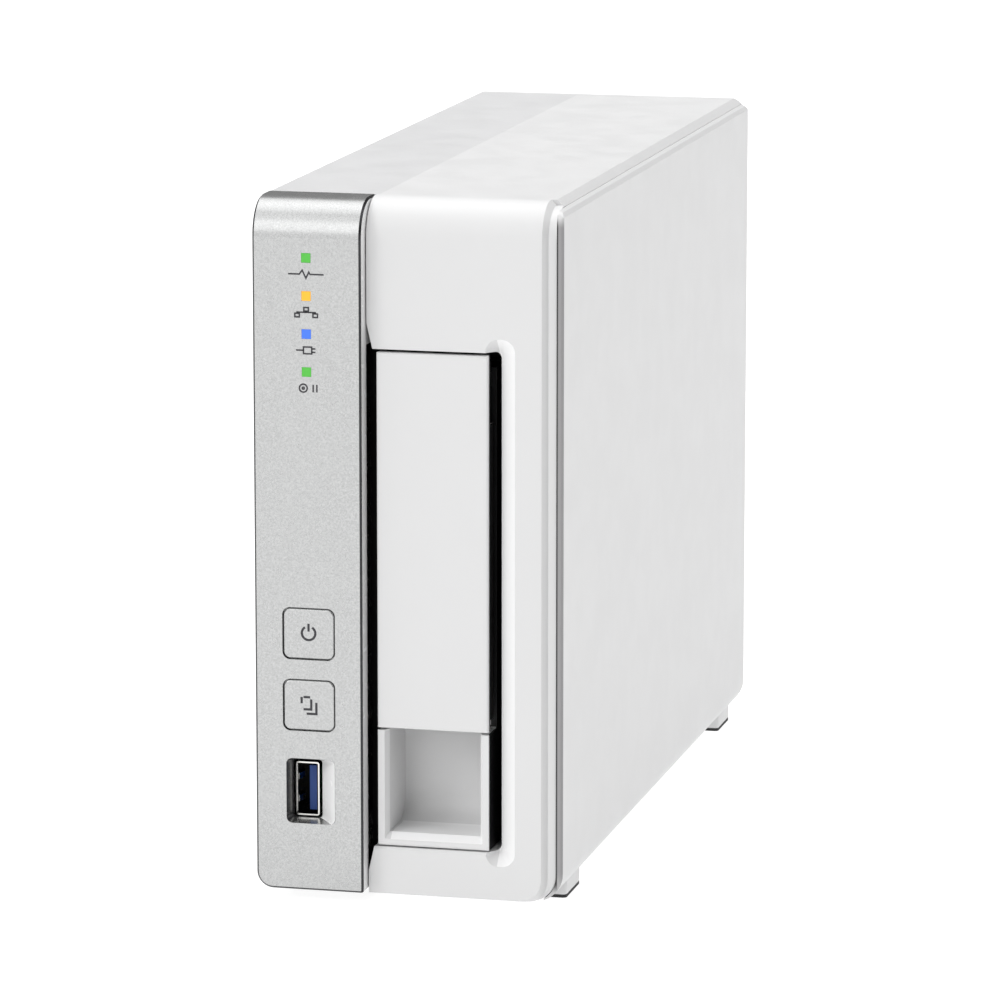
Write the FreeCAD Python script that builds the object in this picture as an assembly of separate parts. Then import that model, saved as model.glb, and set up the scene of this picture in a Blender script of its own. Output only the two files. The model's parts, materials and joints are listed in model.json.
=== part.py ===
"""One-bay desktop network storage unit, in millimetres.

Sizes are laid out from the unit's left, front, floor corner: X to the right, Y to the rear, Z up.
save() moves every piece so that the origin is at the middle of the footprint, on the floor.
"""
import FreeCAD, Part
import math
import os

V = FreeCAD.Vector
AX, AY, AZ = V(1, 0, 0), V(0, 1, 0), V(0, 0, 1)

# Driving dimensions
WIDTH = 73.8
DEPTH = 225.0
HEIGHT = 168.5
FLOOR_GAP = 2.0            # underside of the housing above the floor
SKIN = 2.2                 # moulded wall
STRIP_RIGHT = 26.3         # right edge of the metal-look fascia strip
SPLIT_X = 27.3             # where the left housing meets the main housing
FACE_Y = 4.0               # bezel face, set back from the fascia's face
RAISED_RIGHT = 70.35       # right edge of the bezel's raised face, bevel included
BEZEL_BEVEL = 1.6
FLANGE_DROP = 1.3          # the bezel's border, set back from its raised face
BEZEL_CORNER_R = 6.2
SHELL_FRONT = 14.0         # rear edge of the fascia and the bezel on the top
NOSE_R = 9.0               # front top rounding
HOUSING_RIGHT = 72.0
SEAM = 0.2                 # gap between the housing and the side cover
SEAM_OUT, SEAM_IN = 65.6, 67.2   # the slanted bottom seam, outside and inside
COVER_LEFT = 72.2
COVER_FRONT = 4.6
REAR_IN = 222.2            # inner face of the rear panel
UNDER = FLOOR_GAP
FLOOR_IN = FLOOR_GAP + SKIN
ROOF_IN = HEIGHT - SKIN
LEFT_CORNER_R = 4.0
COVER_TOP = 167.0
COVER_CORNER_R = 7.0

# Drive, to the 3.5 inch standard, standing on its long side
DRIVE_X0, DRIVE_X1 = 30.2, 56.3
DRIVE_Y0, DRIVE_Y1 = 24.0, 171.0
DRIVE_Z0, DRIVE_Z1 = 22.4, 124.0
DRIVE_HOLE_X = DRIVE_X1 - 6.35
DRIVE_HOLES_Y = (DRIVE_Y1 - 28.5, DRIVE_Y1 - 130.1)

# Bay opening, tray and lever
BAY_X1 = 58.5
BAY_Z0, BAY_Z1 = 13.4, 133.3
TRAY_X0, TRAY_X1 = 29.0, 56.0
TRAY_Z0, TRAY_Z1 = 13.8, 132.6
TRAY_BACK = 22.0
LEVER_Z0 = 42.5
LEVER_FACE = 3.5
LEVER_T = 2.5
PIVOT_Y, PIVOT_Z = 6.5, 125.8
PIVOT_R = 1.0
RECESS_PLATE_Y = 12.5
SCOOP_DEEP = 3.0           # flare right of the bay opening

# Steel cage that the tray slides in
CAGE_X0, CAGE_X1 = 26.4, 59.4
CAGE_Y0, CAGE_Y1 = 22.6, 180.0
CAGE_Z0, CAGE_Z1 = 16.5, 130.5
SHEET = 1.0

# Front controls
CONTROL_X = 13.2
LAMP_X = 13.1
LAMP_ZS = (154.85, 145.85, 136.85, 127.85)
LAMP = 2.2
BUTTON_W, BUTTON_H, BUTTON_R = 12.3, 12.0, 1.6
BUTTON_GAP = 0.3
POWER_Z, COPY_Z = 65.1, 47.8
FRONT_BOARD_Y = 9.0
BOARD_T = 1.6

# Sockets
USB_T, USB_W, USB_LEN = 5.7, 13.1, 13.8
USB_WALL = 0.35
FRONT_USB_X, FRONT_USB_Z, FRONT_USB_Y = 11.25, 26.2, 5.6
BOARD_X = 15.0             # the main board's component side faces the left wall
REAR_USB_X = 11.55
REAR_USB_ZS = (47.0, 30.0)
REAR_USB_Y = 224.8
LAN_Z = 68.0
DC_X, DC_Z = 9.5, 88.5
RESET_X, RESET_Z = 13.0, 100.0

# Fan
FAN_SIZE, FAN_DEEP = 50.0, 15.0
FAN_X, FAN_Z = 46.5, 123.0
FAN_HOLE = 20.0
FAN_Y0 = REAR_IN - FAN_DEEP
BLADES = 7

RUN = 0.05                 # running clearance on a radius
BOARD_SCREWS = ((30, 20), (30, 144), (180, 20), (180, 144))   # Y, Z
COVER_POST_ZS = (24, 156)
SINK = 1.2                 # depth of the rear screws' counterbores


# Shape helpers
def box(x0, x1, y0, y1, z0, z1):
    return Part.makeBox(x1 - x0, y1 - y0, z1 - z0, V(x0, y0, z0))


def rod(start, axis, radius, length):
    return Part.makeCylinder(radius, length, V(*start), axis)


def tube(start, axis, outer, inner, length):
    return rod(start, axis, outer, length).cut(rod(start, axis, inner, length))


def outline(corners, to_point):
    """A closed wire through corners (u, v, radius), each corner rounded by its radius."""
    edges = []
    count = len(corners)
    ends = []
    for i, (u, v, radius) in enumerate(corners):
        before = V(corners[i - 1][0] - u, corners[i - 1][1] - v, 0)
        after = V(corners[(i + 1) % count][0] - u, corners[(i + 1) % count][1] - v, 0)
        before.normalize()
        after.normalize()
        here = V(u, v, 0)
        if radius == 0:
            ends.append((here, here, here))
            continue
        half = before.getAngle(after) / 2
        reach = radius / math.tan(half)
        middle = (before + after).normalize()
        centre = here + middle * (radius / math.sin(half))
        ends.append((here + before * reach, centre - middle * radius, here + after * reach))
    for i, (start, bulge, end) in enumerate(ends):
        following = ends[(i + 1) % count][0]
        if start.distanceToPoint(end) > 1e-6:
            edges.append(Part.Arc(to_point(start), to_point(bulge), to_point(end)).toShape())
        if end.distanceToPoint(following) > 1e-6:
            edges.append(Part.LineSegment(to_point(end), to_point(following)).toShape())
    return Part.Wire(Part.__sortEdges__(edges))


def prism_y(corners, y0, y1):
    """An XZ outline, carried along Y."""
    wire = outline(corners, lambda p: V(p.x, y0, p.y))
    return Part.Face(wire).extrude(AY * (y1 - y0))


def prism_x(corners, x0, x1):
    """A YZ outline, carried along X."""
    wire = outline(corners, lambda p: V(x0, p.x, p.y))
    return Part.Face(wire).extrude(AX * (x1 - x0))


def prism_z(corners, z0, z1):
    """An XY outline, carried along Z."""
    wire = outline(corners, lambda p: V(p.x, p.y, z0))
    return Part.Face(wire).extrude(AZ * (z1 - z0))


def rectangle(u0, u1, v0, v1, radius):
    return [(u0, v0, radius), (u1, v0, radius), (u1, v1, radius), (u0, v1, radius)]


def join(shapes):
    return shapes[0].multiFuse(shapes[1:]).removeSplitter()


def edges_at(shape, test):
    """The edges whose every corner and middle pass the test."""
    def passes(edge):
        first, last = edge.ParameterRange
        points = [edge.valueAt(first + (last - first) * t) for t in (0, 0.5, 1)]
        return all(test(p) for p in points)
    return [edge for edge in shape.Edges if passes(edge)]


def near(a, b):
    return abs(a - b) < 1e-3


def hex_grid(u0, u1, v0, v1, pitch):
    """Centres of a staggered grid inside a rectangle."""
    row = 0
    v = v0
    while v <= v1:
        u = u0 + (pitch / 2 if row % 2 else 0)
        while u <= u1:
            yield u, v
            u += pitch
        v += pitch * math.sin(math.pi / 3)
        row += 1


# Housing
def housing_envelope():
    """The outer shape of the closed housing, from front to rear."""
    return prism_y([
        (0, UNDER, LEFT_CORNER_R), (WIDTH, UNDER, COVER_CORNER_R),
        (WIDTH, HEIGHT, 0), (0, HEIGHT, 0)], 0, DEPTH)


def left_housing():
    shell = prism_y([
        (SPLIT_X, HEIGHT, 0), (0, HEIGHT, 1.0), (0, UNDER, LEFT_CORNER_R), (SPLIT_X, UNDER, 0),
        (SPLIT_X, FLOOR_IN, 0), (SKIN, FLOOR_IN, LEFT_CORNER_R - SKIN), (SKIN, ROOF_IN, 0),
        (SPLIT_X, ROOF_IN, 0)], SHELL_FRONT, REAR_IN)
    vents = [box(7, 22, y, y + 3, UNDER - 1, FLOOR_IN + 1) for y in range(60, 180, 8)]
    return shell.cut(Part.makeCompound(vents))


def main_housing():
    """Top, bottom and the wall between the electronics and the drive bay."""
    wall_left, wall_right, lap_right, lap = 24.6, CAGE_X0, 30.0, 1.8
    shell = prism_y([
        (SPLIT_X, HEIGHT, 0), (HOUSING_RIGHT - 2.0, HEIGHT, 0), (HOUSING_RIGHT, HEIGHT - 1.5, 0),
        (HOUSING_RIGHT, ROOF_IN, 0), (lap_right, ROOF_IN, 0), (lap_right, ROOF_IN - lap, 0),
        (wall_right, ROOF_IN - lap, 0), (wall_right, FLOOR_IN + lap, 0),
        (lap_right, FLOOR_IN + lap, 0), (lap_right, FLOOR_IN, 0), (SEAM_IN, FLOOR_IN, 0),
        (SEAM_OUT, UNDER, 0), (SPLIT_X, UNDER, 0), (SPLIT_X, FLOOR_IN, 0), (wall_left, FLOOR_IN, 0),
        (wall_left, ROOF_IN, 0), (SPLIT_X, ROOF_IN, 0)], SHELL_FRONT, REAR_IN)
    cuts = [box(24, 27, 196, REAR_IN + 1, 94, 152)]
    cuts += [box(24, 27, 186, 196, 60, 84)]
    for y in range(60, 180, 8):
        cuts.append(box(33, 56, y, y + 3, UNDER - 1, FLOOR_IN + 1))
    for y in (40, 160):
        for z in (40, 110):
            cuts.append(rod((24, y, z), AX, 1.5, 3))
        cuts.append(rod((63, y, UNDER - 1), AZ, 1.5, 4))
    for y, z in BOARD_SCREWS:
        cuts.append(rod((24, y, z), AX, 1.0, 1.8))
    posts = [tube((16.6, y, z), AX, 2.6, 1.05, 8.0) for y, z in BOARD_SCREWS]
    return join([shell.cut(Part.makeCompound(cuts))] + posts)


def side_cover():
    """The right wall. Beside the bezel it is a rim that follows the bezel's lower corner."""
    outside = [(HOUSING_RIGHT + 0.9, COVER_TOP, 0), (WIDTH, COVER_TOP - 1.4, 0.5),
               (WIDTH, UNDER, COVER_CORNER_R)]
    wall = prism_y([(COVER_LEFT, COVER_TOP, 0)] + outside + [
        (SEAM_OUT + SEAM, UNDER, 0), (SEAM_IN + SEAM, FLOOR_IN, 0),
        (COVER_LEFT, FLOOR_IN, COVER_CORNER_R - SKIN)], SHELL_FRONT + SEAM, DEPTH)
    rim = prism_y([(60, COVER_TOP, 0)] + outside + [(60, UNDER, 0)],
                  COVER_FRONT, SHELL_FRONT + SEAM)
    bezel_room = prism_y([
        (50, HEIGHT, 0), (COVER_LEFT, HEIGHT, 0),
        (COVER_LEFT, UNDER - SEAM, BEZEL_CORNER_R + SEAM), (50, UNDER - SEAM, 0)], 0, DEPTH)
    rim = rim.cut(bezel_room).cut(box(50, 69.2, 0, DEPTH, 0, HEIGHT))
    side_view = prism_x([
        (COVER_FRONT, 0, 0), (DEPTH, 0, 0), (DEPTH, COVER_TOP, 2.0),
        (COVER_FRONT, COVER_TOP, 2.5)], 60, WIDTH + 1)
    plate = join([wall, rim]).common(side_view)
    front_edge = edges_at(plate, lambda p: near(p.x, WIDTH) and p.y < COVER_FRONT + 2.51)
    plate = plate.makeChamfer(0.5, front_edge)
    posts = []
    for z in COVER_POST_ZS:
        post = box(64.8, COVER_LEFT, 212, REAR_IN, z - 4, z + 4)
        posts.append(post.cut(rod((68.4, 213, z), AY, 1.25, 12)))
    ribs = [box(70.8, COVER_LEFT, y, y + 1.2, 12, 160) for y in (60, 110, 160)]
    return join([plate] + posts + ribs)


def rear_panel():
    panel = prism_y([
        (0, UNDER, LEFT_CORNER_R), (SEAM_OUT, UNDER, 0), (SEAM_IN, FLOOR_IN + SEAM, 0),
        (HOUSING_RIGHT, FLOOR_IN + SEAM, COVER_CORNER_R - SKIN - SEAM),
        (HOUSING_RIGHT, HEIGHT - 1.5, 0), (HOUSING_RIGHT - 2, HEIGHT, 0),
        (0, HEIGHT, 1.0)], REAR_IN, DEPTH)
    cuts = []
    for inner in (5.5, 10.5, 15.5, 20.5):
        ring = tube((FAN_X, REAR_IN - 1, FAN_Z), AY, inner + 3.2, inner, 5)
        spokes = [Part.makeBox(60, 6, 2.2, V(-30, -1, -1.1)) for _ in range(3)]
        for i, spoke in enumerate(spokes):
            spoke.rotate(V(0, 0, 0), AY, 60 * i)
            spoke.translate(V(FAN_X, REAR_IN, FAN_Z))
        cuts.append(ring.cut(Part.makeCompound(spokes)))
    for dx in (-FAN_HOLE, FAN_HOLE):
        for dz in (-FAN_HOLE, FAN_HOLE):
            cuts.append(rod((FAN_X + dx, REAR_IN - 1, FAN_Z + dz), AY, 2.1, 5))
            cuts.append(rod((FAN_X + dx, DEPTH - SINK, FAN_Z + dz), AY, 3.7, 5))
    for z in COVER_POST_ZS:
        cuts.append(rod((68.4, REAR_IN - 1, z), AY, 1.7, 5))
        cuts.append(rod((68.4, DEPTH - SINK, z), AY, 3.0, 5))
    cuts.append(prism_y(rectangle(2.8, 15.3, LAN_Z - 8.2, LAN_Z + 8.2, 0.4), REAR_IN - 1, DEPTH + 1))
    for z in REAR_USB_ZS:
        half_t, half_w = USB_T / 2 + 0.4, USB_W / 2 + 0.4
        cuts.append(prism_y(rectangle(
            REAR_USB_X - half_t, REAR_USB_X + half_t, z - half_w, z + half_w, 0.6),
            REAR_IN - 1, DEPTH + 1))
    cuts.append(rod((DC_X, REAR_IN - 1, DC_Z), AY, 4.4, 5))
    cuts.append(rod((RESET_X, REAR_IN - 1, RESET_Z), AY, 1.1, 5))
    cuts.append(prism_y(rectangle(6.4, 9.6, 142, 149, 0.8), REAR_IN - 1, DEPTH + 1))
    for x, z in hex_grid(24, 68, 18, 84, 5.0):
        cuts.append(rod((x, REAR_IN - 1, z), AY, 1.6, 5))
    panel = panel.cut(Part.makeCompound(cuts))
    left_rim = edges_at(panel, lambda p: near(p.y, DEPTH) and near(p.x, 0))
    return panel.makeChamfer(0.6, left_rim)


# Front
def nose(x0, x1, face, z0, corner_left, corner_right, drop=0.0):
    """A front shell block with a rounded top front edge; drop sinks its face and its top."""
    face, top = face + drop, HEIGHT - drop
    block = prism_y([
        (x0, z0, corner_left), (x1, z0, corner_right), (x1, top, 0), (x0, top, 0)],
        face, SHELL_FRONT)
    side_view = prism_x([
        (face, z0 - 1, 0), (SHELL_FRONT + 1, z0 - 1, 0), (SHELL_FRONT + 1, top, 0),
        (face, top, NOSE_R - drop)], x0 - 1, x1 + 1)
    return block.common(side_view)


def nose_hollow(x0, x1, face, z0):
    """The space inside a front shell block."""
    return prism_x([
        (face + SKIN, z0, 0), (SHELL_FRONT + 1, z0, 0), (SHELL_FRONT + 1, ROOF_IN, 0),
        (face + SKIN, ROOF_IN, NOSE_R - SKIN)], x0, x1)


def usb_funnel(grow, depth):
    """The tapered recess in front of the front socket: square on the left, sloped on the right."""
    wires = []
    for y, x0, x1, z0, z1, radius in (
            (0.0, 7.5, 19.5, 19.0, 34.8, 1.4), (depth, 7.8, 14.9, 19.3, 33.5, 0.8)):
        corners = rectangle(x0 - grow, x1 + grow, z0 - grow, z1 + grow, radius)
        wires.append(outline(corners, lambda p, y=y: V(p.x, y, p.y)))
    return Part.makeLoft(wires, True, True)


FASCIA_POSTS = ((5.6, 158.0), (20.8, 118.0), (5.6, 84.0), (20.8, 38.4))


def silver_fascia():
    shell = nose(0, STRIP_RIGHT, 0, 2.7, LEFT_CORNER_R, 0.6)
    rim = edges_at(
        shell, lambda p: (near(p.x, 0) or near(p.x, STRIP_RIGHT)) and
        (near(p.y, 0) or p.z > HEIGHT - NOSE_R - 0.01) and p.y < SHELL_FRONT - 0.01
        or (near(p.z, HEIGHT) and (near(p.x, 0) or near(p.x, STRIP_RIGHT)))
        or (near(p.y, 0) and p.z < 2.7 + LEFT_CORNER_R + 0.01))
    shell = shell.makeChamfer(0.5, rim)
    hollow = nose_hollow(SKIN, STRIP_RIGHT - 1.6, 0, 2.7 + SKIN)
    shell = shell.cut(hollow)
    shell = shell.cut(box(STRIP_RIGHT - 2, STRIP_RIGHT + 1, 9, 15, 0, ROOF_IN))
    posts = [tube((x, SKIN - 0.1, z), AY, 2.2, 1.05, FRONT_BOARD_Y - SKIN + 0.1)
             for x, z in FASCIA_POSTS]
    funnel = usb_funnel(1.2, 5.4)
    shell = join([shell, funnel] + posts)
    cuts = [usb_funnel(0, 5.4)]
    for z in LAMP_ZS:
        half = LAMP / 2 + 0.05
        cuts.append(box(LAMP_X - half, LAMP_X + half, -1, 4, z - half, z + half))
    for z in (POWER_Z, COPY_Z):
        half_w, half_h = BUTTON_W / 2 + BUTTON_GAP, BUTTON_H / 2 + BUTTON_GAP
        cuts.append(prism_y(rectangle(
            CONTROL_X - half_w, CONTROL_X + half_w, z - half_h, z + half_h,
            BUTTON_R + BUTTON_GAP), -1, 4))
    return shell.cut(Part.makeCompound(cuts))


def bay_scoop():
    """The flare right of the bay opening, with sloped ends above and below the opening."""
    wires = []
    for y, x0, x1, beyond, radius in (
            (FACE_Y - 0.3, 55.0, BAY_X1 + 4.4, 3.7, 3.6),
            (FACE_Y + SCOOP_DEEP, BAY_X1 - 1.2, BAY_X1, 0.0, 0.5)):
        corners = rectangle(x0, x1, BAY_Z0 - beyond, BAY_Z1 + beyond, radius)
        wires.append(outline(corners, lambda p, y=y: V(p.x, y, p.y)))
    return Part.makeLoft(wires, True, True)


def front_bezel():
    left = STRIP_RIGHT + 0.3
    flange = nose(left, HOUSING_RIGHT, FACE_Y, UNDER, 0, BEZEL_CORNER_R, FLANGE_DROP)
    raised = nose(left, RAISED_RIGHT, FACE_Y, UNDER - BEZEL_BEVEL, 0, BEZEL_CORNER_R + 0.8)
    rim = edges_at(raised, lambda p: (near(p.x, RAISED_RIGHT) and (
        near(p.y, FACE_Y) or p.z > HEIGHT - NOSE_R - 0.01) and p.y < SHELL_FRONT - 0.01)
        or (near(p.x, RAISED_RIGHT) and near(p.z, HEIGHT))
        or (near(p.y, FACE_Y) and p.z < UNDER + BEZEL_CORNER_R))
    raised = raised.makeChamfer(BEZEL_BEVEL, rim)
    border = prism_y([(left, UNDER, 0), (HOUSING_RIGHT, UNDER, BEZEL_CORNER_R),
                      (HOUSING_RIGHT, HEIGHT, 0), (left, HEIGHT, 0)], FACE_Y, SHELL_FRONT)
    shell = join([raised.common(border), flange])
    hollow = nose_hollow(left - 1, HOUSING_RIGHT - 3.4, FACE_Y, FLOOR_IN)
    frame = box(left, BAY_X1 + 1.7, FACE_Y, SHELL_FRONT, BAY_Z0 - 1.7, BAY_Z1 + 1.7)
    scoop_back = box(BAY_X1, BAY_X1 + 5.4, FACE_Y, FACE_Y + SCOOP_DEEP + 2.0,
                     BAY_Z0 - 5.0, BAY_Z1 + 5.0)
    shell = shell.cut(hollow.cut(frame).cut(scoop_back))
    cuts = [bay_scoop(), prism_y([
        (left - 1, BAY_Z0, 0), (BAY_X1, BAY_Z0, 1.6), (BAY_X1, BAY_Z1, 1.6),
        (left - 1, BAY_Z1, 0)], 0, SHELL_FRONT + 2)]
    for z, away in ((BAY_Z1, 1), (BAY_Z0, -1)):
        cuts.append(prism_y([(left - 1, z - away, 0), (left - 1, z + 6.0 * away, 0),
                             (left, z + 6.0 * away, 0), (left + 1.4, z, 0),
                             (left + 1.4, z - away, 0)], 0, SHELL_FRONT + 1))
    lip = prism_x([(FACE_Y - 1, BAY_Z0 + 1, 0), (FACE_Y - 1, BAY_Z0 - 2.6, 0),
                   (FACE_Y + 0.9, BAY_Z0 + 1, 0)], left + 1.5, BAY_X1 - 1)
    cuts.append(lip)
    return shell.cut(Part.makeCompound(cuts))


def lamp_pipe(z):
    half = LAMP / 2
    head = box(LAMP_X - half, LAMP_X + half, 0, 7.6, z - half, z + half)
    collar = box(LAMP_X - half - 0.9, LAMP_X + half + 0.9, SKIN + 0.05, SKIN + 1.2,
                 z - half - 0.9, z + half + 0.9)
    return join([head, collar])


def front_leds():
    return Part.makeCompound([
        box(LAMP_X - 1.5, LAMP_X + 1.5, 7.8, FRONT_BOARD_Y, z - 1.0, z + 1.0) for z in LAMP_ZS])


def button(z):
    half_w, half_h = BUTTON_W / 2, BUTTON_H / 2
    cap = prism_y(rectangle(CONTROL_X - half_w, CONTROL_X + half_w, z - half_h, z + half_h,
                            BUTTON_R), 0, SKIN + 0.4)
    face_rim = edges_at(cap, lambda p: near(p.y, 0))
    cap = cap.makeChamfer(0.25, face_rim)
    flange = box(CONTROL_X - half_w - 0.9, CONTROL_X + half_w + 0.9, SKIN + 0.1, SKIN + 0.9,
                 z - half_h - 0.9, z + half_h + 0.9)
    hollow = box(CONTROL_X - half_w + 1.2, CONTROL_X + half_w - 1.2, 1.4, SKIN + 1,
                 z - half_h + 1.2, z + half_h - 1.2)
    stem = rod((CONTROL_X, 1.2, z), AY, 1.6, SWITCH_TIP_Y - 1.2)
    return join([join([cap, flange]).cut(hollow), stem])


SWITCH_FACE_Y = 5.5
SWITCH_TIP_Y = 4.6


def tact_switches():
    bodies = []
    for z in (POWER_Z, COPY_Z):
        body = box(CONTROL_X - 3, CONTROL_X + 3, SWITCH_FACE_Y, FRONT_BOARD_Y, z - 3, z + 3)
        bodies.append(body.cut(rod((CONTROL_X, SWITCH_FACE_Y, z), AY, 1.5 + RUN, 1.1)))
    return Part.makeCompound(bodies)


def tact_plunger(z):
    return rod((CONTROL_X, SWITCH_TIP_Y, z), AY, 1.5, 1.5)


def front_board():
    board = box(3.4, 23.0, FRONT_BOARD_Y, FRONT_BOARD_Y + BOARD_T, 36.1, 161.0)
    holes = [rod((x, FRONT_BOARD_Y, z), AY, 1.1, BOARD_T) for x, z in FASCIA_POSTS]
    return board.cut(Part.makeCompound(holes))


def pan_screw(start, axis, radius, length, head_r, head_t):
    """start is under the head; axis points to the tip."""
    shank = rod(start, axis, radius, length)
    under = V(*start)
    head = Part.makeCylinder(head_r, head_t, under - axis * head_t, axis)
    slot = Part.makeBox(head_r * 1.2, head_r * 0.36, head_t * 0.6,
                        V(-head_r * 0.6, -head_r * 0.18, 0))
    cross = slot.fuse(slot.rotated(V(0, 0, 0), AZ, 90))
    cross.Placement = FreeCAD.Placement(under - axis * head_t, FreeCAD.Rotation(AZ, axis))
    return shank.fuse(head).cut(cross)


# Sockets
def usb_shell(x, z, mouth, inward):
    """A metal socket shell. mouth is the open end's Y and inward is +1 when it runs to the rear."""
    ends = sorted((mouth, mouth + inward * USB_LEN))
    half_t, half_w = USB_T / 2, USB_W / 2
    shell = prism_y(rectangle(x - half_t, x + half_t, z - half_w, z + half_w, 0.6), *ends)
    hollow = prism_y(rectangle(
        x - half_t + USB_WALL, x + half_t - USB_WALL, z - half_w + USB_WALL,
        z + half_w - USB_WALL, 0.3), ends[0] - 1, ends[1] + 1)
    pads = []
    for dz in (-half_w, half_w - 1.0):
        for depth in (10.8, 13.0):
            y = mouth + inward * depth
            pads.append(box(x + half_t - 0.2, BOARD_X, min(y, y - inward), max(y, y - inward),
                            z + dz, z + dz + 1.0))
    return join([shell] + pads).cut(hollow)


def usb_tongue(x, z, mouth, inward):
    """The insulator: a block that closes the shell's rear and the contact tongue."""
    block_start = mouth + inward * (USB_LEN - 2.6)
    block_end = mouth + inward * USB_LEN
    tongue_start = mouth + inward * 1.4
    half_t = USB_T / 2 - USB_WALL - 0.03
    half_w = USB_W / 2 - USB_WALL - 0.03
    block = prism_y(rectangle(x - half_t, x + half_t, z - half_w, z + half_w, 0.3),
                    *sorted((block_start, block_end)))
    ends = sorted((tongue_start, block_end))
    tongue = box(x + 0.1, x + 1.85, ends[0], ends[1], z - 5.4, z + 5.4)
    return join([block, tongue])


def lan_jack():
    x0, x1 = 3.0, BOARD_X
    body = box(x0, x1, 203.6, 224.8, LAN_Z - 8, LAN_Z + 8)
    plug_space = box(x0 + 1.2, x0 + 8.0, 212.0, 226, LAN_Z - 5.9, LAN_Z + 5.9)
    latch_space = box(x0 + 7.9, x0 + 9.6, 212.0, 226, LAN_Z - 3.1, LAN_Z + 3.1)
    return body.cut(plug_space).cut(latch_space)


def dc_jack():
    body = box(4.4, BOARD_X, 210.6, 221.8, DC_Z - 4.6, DC_Z + 4.6)
    barrel = rod((DC_X, 221.8, DC_Z), AY, 4.1, 2.8)
    return join([body, barrel]).cut(rod((DC_X, 214.6, DC_Z), AY, 3.2, 12))


def dc_pin():
    pin = rod((DC_X, 214.6, DC_Z), AY, 1.25, 8.6)
    return pin.makeChamfer(0.4, edges_at(pin, lambda p: near(p.y, 223.2)))


def reset_switch():
    body = box(RESET_X - 2.0, BOARD_X, 214.0, 217.4, RESET_Z - 2.2, RESET_Z + 2.2)
    return body.cut(rod((RESET_X, 216.7, RESET_Z), AY, 0.75 + RUN, 1))


def reset_plunger():
    return rod((RESET_X, 217.1, RESET_Z), AY, 0.75, 1.9)


# Electronics
def mainboard():
    board = box(BOARD_X, BOARD_X + BOARD_T, 16.0, 218.0, 12.0, 152.0)
    holes = [rod((BOARD_X, y, z), AX, 1.6, BOARD_T) for y, z in BOARD_SCREWS]
    fan_notch = box(BOARD_X - 1, BOARD_X + 3, 206.0, 219.0, 110.0, 153.0)
    return board.cut(Part.makeCompound(holes + [fan_notch]))


def board_screws():
    back = FRONT_BOARD_Y + BOARD_T
    front = [pan_screw((x, back, z), -AY, 1.0, 6.0, 2.0, 1.3) for x, z in FASCIA_POSTS]
    main = [pan_screw((BOARD_X, y, z), AX, 1.0, 9.0, 2.6, 1.6) for y, z in BOARD_SCREWS]
    return Part.makeCompound(front + main)


CPU_Y, CPU_Z = 96.0, 92.0


def cpu():
    return prism_x(rectangle(CPU_Y - 11.5, CPU_Y + 11.5, CPU_Z - 11.5, CPU_Z + 11.5, 0.5),
                   BOARD_X - 1.6, BOARD_X)


def heatsink():
    base = box(BOARD_X - 3.4, BOARD_X - 1.6, CPU_Y - 20, CPU_Y + 20, CPU_Z - 20, CPU_Z + 20)
    fins = [box(BOARD_X - 11.0, BOARD_X - 3.4, CPU_Y - 20, CPU_Y + 20, z, z + 1.0)
            for z in [CPU_Z - 20 + i * 3.9 for i in range(11)]]
    return join([base] + fins)


def memory_chips():
    return Part.makeCompound([
        box(BOARD_X - 1.2, BOARD_X, y, y + 9.0, z, z + 13.0)
        for y in (126.0, 140.0) for z in (76.0, 96.0)])


def support_chips():
    chips = [box(BOARD_X - 1.0, BOARD_X, 180.0, 189.0, 62.0, 71.0),
             box(BOARD_X - 1.0, BOARD_X, 60.0, 74.0, 50.0, 58.0),
             box(BOARD_X - 1.2, BOARD_X, 52.0, 64.0, 110.0, 130.0)]
    return Part.makeCompound(chips)


def capacitors():
    spots = ((196, 100), (196, 88), (186, 88), (50, 30), (62, 30), (150, 130))
    return Part.makeCompound([rod((BOARD_X - 8.0, y, z), AX, 3.1, 8.0) for y, z in spots])


def inductors():
    spots = ((172, 96), (172, 108), (84, 60))
    return Part.makeCompound([
        prism_x(rectangle(y - 3.4, y + 3.4, z - 3.4, z + 3.4, 1.0), BOARD_X - 3.2, BOARD_X)
        for y, z in spots])


CELL_Y, CELL_Z, CELL_R = 90.0, 34.0, 10.0


def cell_holder():
    ring = tube((BOARD_X - 4.6, CELL_Y, CELL_Z), AX, CELL_R + 1.6, CELL_R + 0.1, 4.6)
    base = rod((BOARD_X - 1.2, CELL_Y, CELL_Z), AX, CELL_R + 1.6, 1.2)
    return join([ring, base])


def coin_cell():
    cell = rod((BOARD_X - 4.4, CELL_Y, CELL_Z), AX, CELL_R, 3.2)
    return cell.makeChamfer(0.4, edges_at(cell, lambda p: near(p.x, BOARD_X - 4.4)))


def buzzer():
    can = rod((BOARD_X - 6.0, 130.0, 30.0), AX, 6.0, 6.0)
    return can.cut(rod((BOARD_X - 6.0, 130.0, 30.0), AX, 1.0, 3.0))


def fan_header():
    body = box(BOARD_X - 6.0, BOARD_X, 194.0, 200.0, 118.0, 126.0)
    return body.cut(box(BOARD_X - 7.0, BOARD_X - 1.2, 195.0, 199.0, 119.0, 125.0))


RIBBON_Z0, RIBBON_Z1 = 74.0, 80.0


def ribbon_sockets():
    """One on the front board, one on the main board."""
    front = box(6.0, 12.4, FRONT_BOARD_Y + BOARD_T, 13.6, RIBBON_Z0 - 1, RIBBON_Z1 + 1)
    main = box(BOARD_X - 2.4, BOARD_X, 34.0, 38.0, RIBBON_Z0 - 1, RIBBON_Z1 + 1)
    return Part.makeCompound([front, main])


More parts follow.
